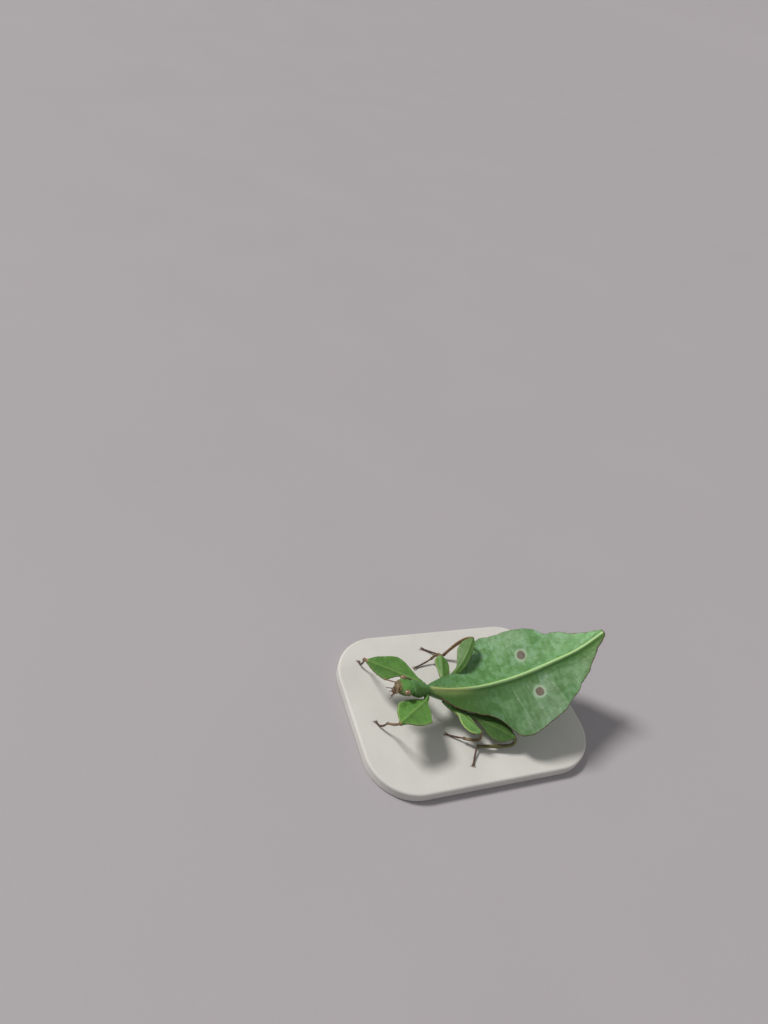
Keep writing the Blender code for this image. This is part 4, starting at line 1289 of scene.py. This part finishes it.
def base_plaster(colours):
    """Fine matt off-white with faint specks and a trace of sanding."""
    sheet = Sheet("base_plaster")
    place = sheet.spot()
    cloud = sheet.noise(place, 0.12, 3.0)
    speck = sheet.noise(place, 3.2, 4.0, 0.7)
    colour = sheet.scaled(colours.base, cloud.ramp(0.3, 0.7, 0.95, 1.03))
    darker = sheet.mix(0.3, colours.base, colours.cheek_shade)
    colour = sheet.mix(speck.ramp(0.66, 0.74) * 0.25, colour, darker)
    height = speck + sheet.noise(place, 9.0, 2.0) * 0.4
    return sheet.finish(colour, speck.ramp(0.3, 0.7, 0.62, 0.74), height, 0.02 * MM)


def floor_matt(colours):
    """Plain matt floor with a faint grain."""
    sheet = Sheet("floor_matt")
    place = sheet.spot()
    cloud = sheet.noise(place, 0.02, 3.0)
    grain = sheet.noise(place, 1.4, 3.0)
    colour = sheet.scaled(colours.floor, cloud.ramp(0.3, 0.7, 0.99, 1.01))
    return sheet.finish(colour, cloud.ramp(0.3, 0.7, 0.68, 0.72), grain, 0.02 * MM)


# Stage


# Floor in metres and degrees: flat as far as this, then sweeping up
FLOOR_FLAT = 4.0
FLOOR_RINGS = (0.3, 1.0, FLOOR_FLAT)
FLOOR_SWEEP = 2.0
SWEEP_STEPS = 12
SWEEP_TURN = 6.0
FLOOR_SIDES = 96

# Camera: place in metres, turn in degrees, lens and sensor in millimetres
CAMERA_PLACE = (-0.070839, -0.066724, 0.113591)
CAMERA_TURN = (50.007, -15.024, -18.678)
LENS = 26.016
SENSOR = 36.0


def stage_floor(material):
    """A round floor whose edge sweeps up out of sight."""
    profile = [(r, 0.0) for r in FLOOR_RINGS]
    for k in range(1, SWEEP_STEPS + 1):
        a = math.radians(k * SWEEP_TURN)
        profile.append((FLOOR_FLAT + FLOOR_SWEEP * math.sin(a), FLOOR_SWEEP * (1 - math.cos(a))))
    turn = turns(FLOOR_SIDES)
    rings = [np.stack([r * np.cos(turn), r * np.sin(turn), 0 * turn + z], 1) for r, z in profile]
    points = np.vstack([(0.0, 0.0, 0.0), *rings])
    index = 1 + np.arange(len(profile) * FLOOR_SIDES).reshape(len(profile), FLOOR_SIDES)
    after = np.roll(index, -1, 1)
    faces = [(0, a, b) for a, b in zip(index[0].tolist(), after[0].tolist())]
    faces += np.stack([index[:-1], index[1:], after[1:], after[:-1]], -1).reshape(-1, 4).tolist()
    floor = new_object("floor", points, faces)
    floor.data.shade_smooth()
    floor.data.materials.append(material)


def sun(name, away, spread, power, colour):
    """A soft light of even strength from the direction away, spread degrees wide."""
    data = bpy.data.lights.new(name, "SUN")
    data.angle = math.radians(spread)
    data.energy = power
    data.color = colour
    made = bpy.data.objects.new(name, data)
    back = Vector(away).normalized()
    made.matrix_world = Matrix.Translation(back) @ back.to_track_quat("Z", "Y").to_matrix().to_4x4()
    bpy.context.scene.collection.objects.link(made)


def soft_room(colour, power):
    """Even light from all round."""
    world = bpy.data.worlds.new("soft_room")
    world.use_nodes = True
    sky = world.node_tree.nodes["Background"]
    sky.inputs["Color"].default_value = (*colour, 1)
    sky.inputs["Strength"].default_value = power
    return world


def photo_view():
    """The camera, turned with the insect so that it keeps the photo's framing."""
    data = bpy.data.cameras.new("photo_view")
    data.lens = LENS
    data.sensor_width = SENSOR
    data.clip_start = 0.005
    camera = bpy.data.objects.new("photo_view", data)
    turn = Euler([math.radians(angle) for angle in CAMERA_TURN])
    camera.matrix_world = Matrix.LocRotScale(Vector(CAMERA_PLACE), turn, None)
    bpy.context.scene.collection.objects.link(camera)
    return camera


# Operators


class LEAF_OT_skin(bpy.types.Operator):
    """Builds the one skin over body and legs"""
    bl_idname = "leaf_insect.skin"
    bl_label = "Skin"

    def execute(self, context):
        sizes = context.scene.leaf_insect_sizes
        forms = [body_form(sizes.flap / MM), oval_form(PRONOTUM, 0.055, pronotum_relief, 0.0),
                 oval_form(HEAD, 0.05, head_relief, 1.0), cercus_form(1), cercus_form(-1)]
        nodes = list(FLESH)
        for label, leg in LEGS.items():
            forms += [coxa_form(leg), femur_form(leg, sizes.lobe / MM), tibia_form(leg),
                      tarsus_form(leg)]
            nodes += [f"{part}_{label}" for part in ("coxa", "femur", "tibia", "tarsus")]
        skin = fuse("leaf_skin", forms)
        material = leaf_skin(context.scene.leaf_insect_colours, sizes.grain)
        finish_piece(skin, material, nodes, sharp=50)
        return {"FINISHED"}


class LEAF_OT_eyes(bpy.types.Operator):
    """Builds the two eyes in the sides of the head"""
    bl_idname = "leaf_insect.eyes"
    bl_label = "Eyes"

    def execute(self, context):
        material = eye_gloss(context.scene.leaf_insect_colours)
        for label, side in SIDES.items():
            eye = joined(f"eyeball_{label}", [eye_form(side)])
            finish_piece(eye, material, [f"eye_{label}"])
        return {"FINISHED"}


class LEAF_OT_antennae(bpy.types.Operator):
    """Builds the two short antennae"""
    bl_idname = "leaf_insect.antennae"
    bl_label = "Antennae"

    def execute(self, context):
        material = feeler_brown(context.scene.leaf_insect_colours)
        for label, side in SIDES.items():
            feeler = joined(f"feeler_{label}", [antenna_form(side)])
            finish_piece(feeler, material, [f"antenna_{label}"])
        return {"FINISHED"}


class LEAF_OT_jaws(bpy.types.Operator):
    """Builds the lip, jaws and the two pairs of mouth feelers"""
    bl_idname = "leaf_insect.jaws"
    bl_label = "Jaws"

    def execute(self, context):
        jaws = joined("jaws", jaw_forms())
        finish_piece(jaws, jaw_brown(context.scene.leaf_insect_colours),
                     ["mouthparts"])
        return {"FINISHED"}


class LEAF_OT_claws(bpy.types.Operator):
    """Builds a pair of claws and the pad between them on each foot"""
    bl_idname = "leaf_insect.claws"
    bl_label = "Claws"

    def execute(self, context):
        length = context.scene.leaf_insect_sizes.claw / MM
        material = claw_horn(context.scene.leaf_insect_colours)
        for label, leg in LEGS.items():
            claws = joined(f"claws_{label}", claw_forms(leg, length))
            finish_piece(claws, material, [])
        return {"FINISHED"}


class LEAF_OT_base(bpy.types.Operator):
    """Gives the base its matt finish"""
    bl_idname = "leaf_insect.base"
    bl_label = "Base"

    def execute(self, context):
        base = frame["nodes"]["stand_base"]
        base.data.materials.clear()
        base.data.materials.append(base_plaster(context.scene.leaf_insect_colours))
        return {"FINISHED"}


class LEAF_OT_stage(bpy.types.Operator):
    """Sets the floor, the lights and the camera"""
    bl_idname = "leaf_insect.stage"
    bl_label = "Stage"

    def execute(self, context):
        scene = context.scene
        stage_floor(floor_matt(scene.leaf_insect_colours))
        sun("key", away=(-0.53, 0.39, 0.75), spread=13.0, power=2.8, colour=(1.0, 0.98, 0.95))
        sun("fill", away=(0.55, -0.55, 0.60), spread=60.0, power=0.25, colour=(0.94, 0.97, 1.0))
        scene.world = soft_room(colour=(0.96, 0.955, 0.95), power=0.27)
        scene.view_settings.view_transform = "Standard"
        scene.camera = photo_view()
        return {"FINISHED"}


class LEAF_PT_panel(bpy.types.Panel):
    """Lists the pieces of the leaf insect"""
    bl_idname = "LEAF_PT_panel"
    bl_label = "Leaf insect"
    bl_space_type = "VIEW_3D"
    bl_region_type = "UI"
    bl_category = "Leaf insect"

    def draw(self, context):
        column = self.layout.column(align=True)
        for step in STEPS:
            column.operator(step.bl_idname)
        for group in (context.scene.leaf_insect_sizes, context.scene.leaf_insect_colours):
            box = self.layout.box()
            for name in group.__annotations__:
                box.prop(group, name)


STEPS = (LEAF_OT_skin, LEAF_OT_eyes, LEAF_OT_antennae, LEAF_OT_jaws, LEAF_OT_claws, LEAF_OT_base,
         LEAF_OT_stage)
CLASSES = (LeafInsectSizes, LeafInsectColours, *STEPS, LEAF_PT_panel)


def register():
    for item in CLASSES:
        bpy.utils.register_class(item)
    bpy.types.Scene.leaf_insect_sizes = PointerProperty(type=LeafInsectSizes)
    bpy.types.Scene.leaf_insect_colours = PointerProperty(type=LeafInsectColours)


def unregister():
    del bpy.types.Scene.leaf_insect_colours
    del bpy.types.Scene.leaf_insect_sizes
    for item in reversed(CLASSES):
        bpy.utils.unregister_class(item)


def main():
    register()
    for step in STEPS:
        group, name = step.bl_idname.split(".")
        getattr(getattr(bpy.ops, group), name)()


if __name__ == "__main__":
    main()
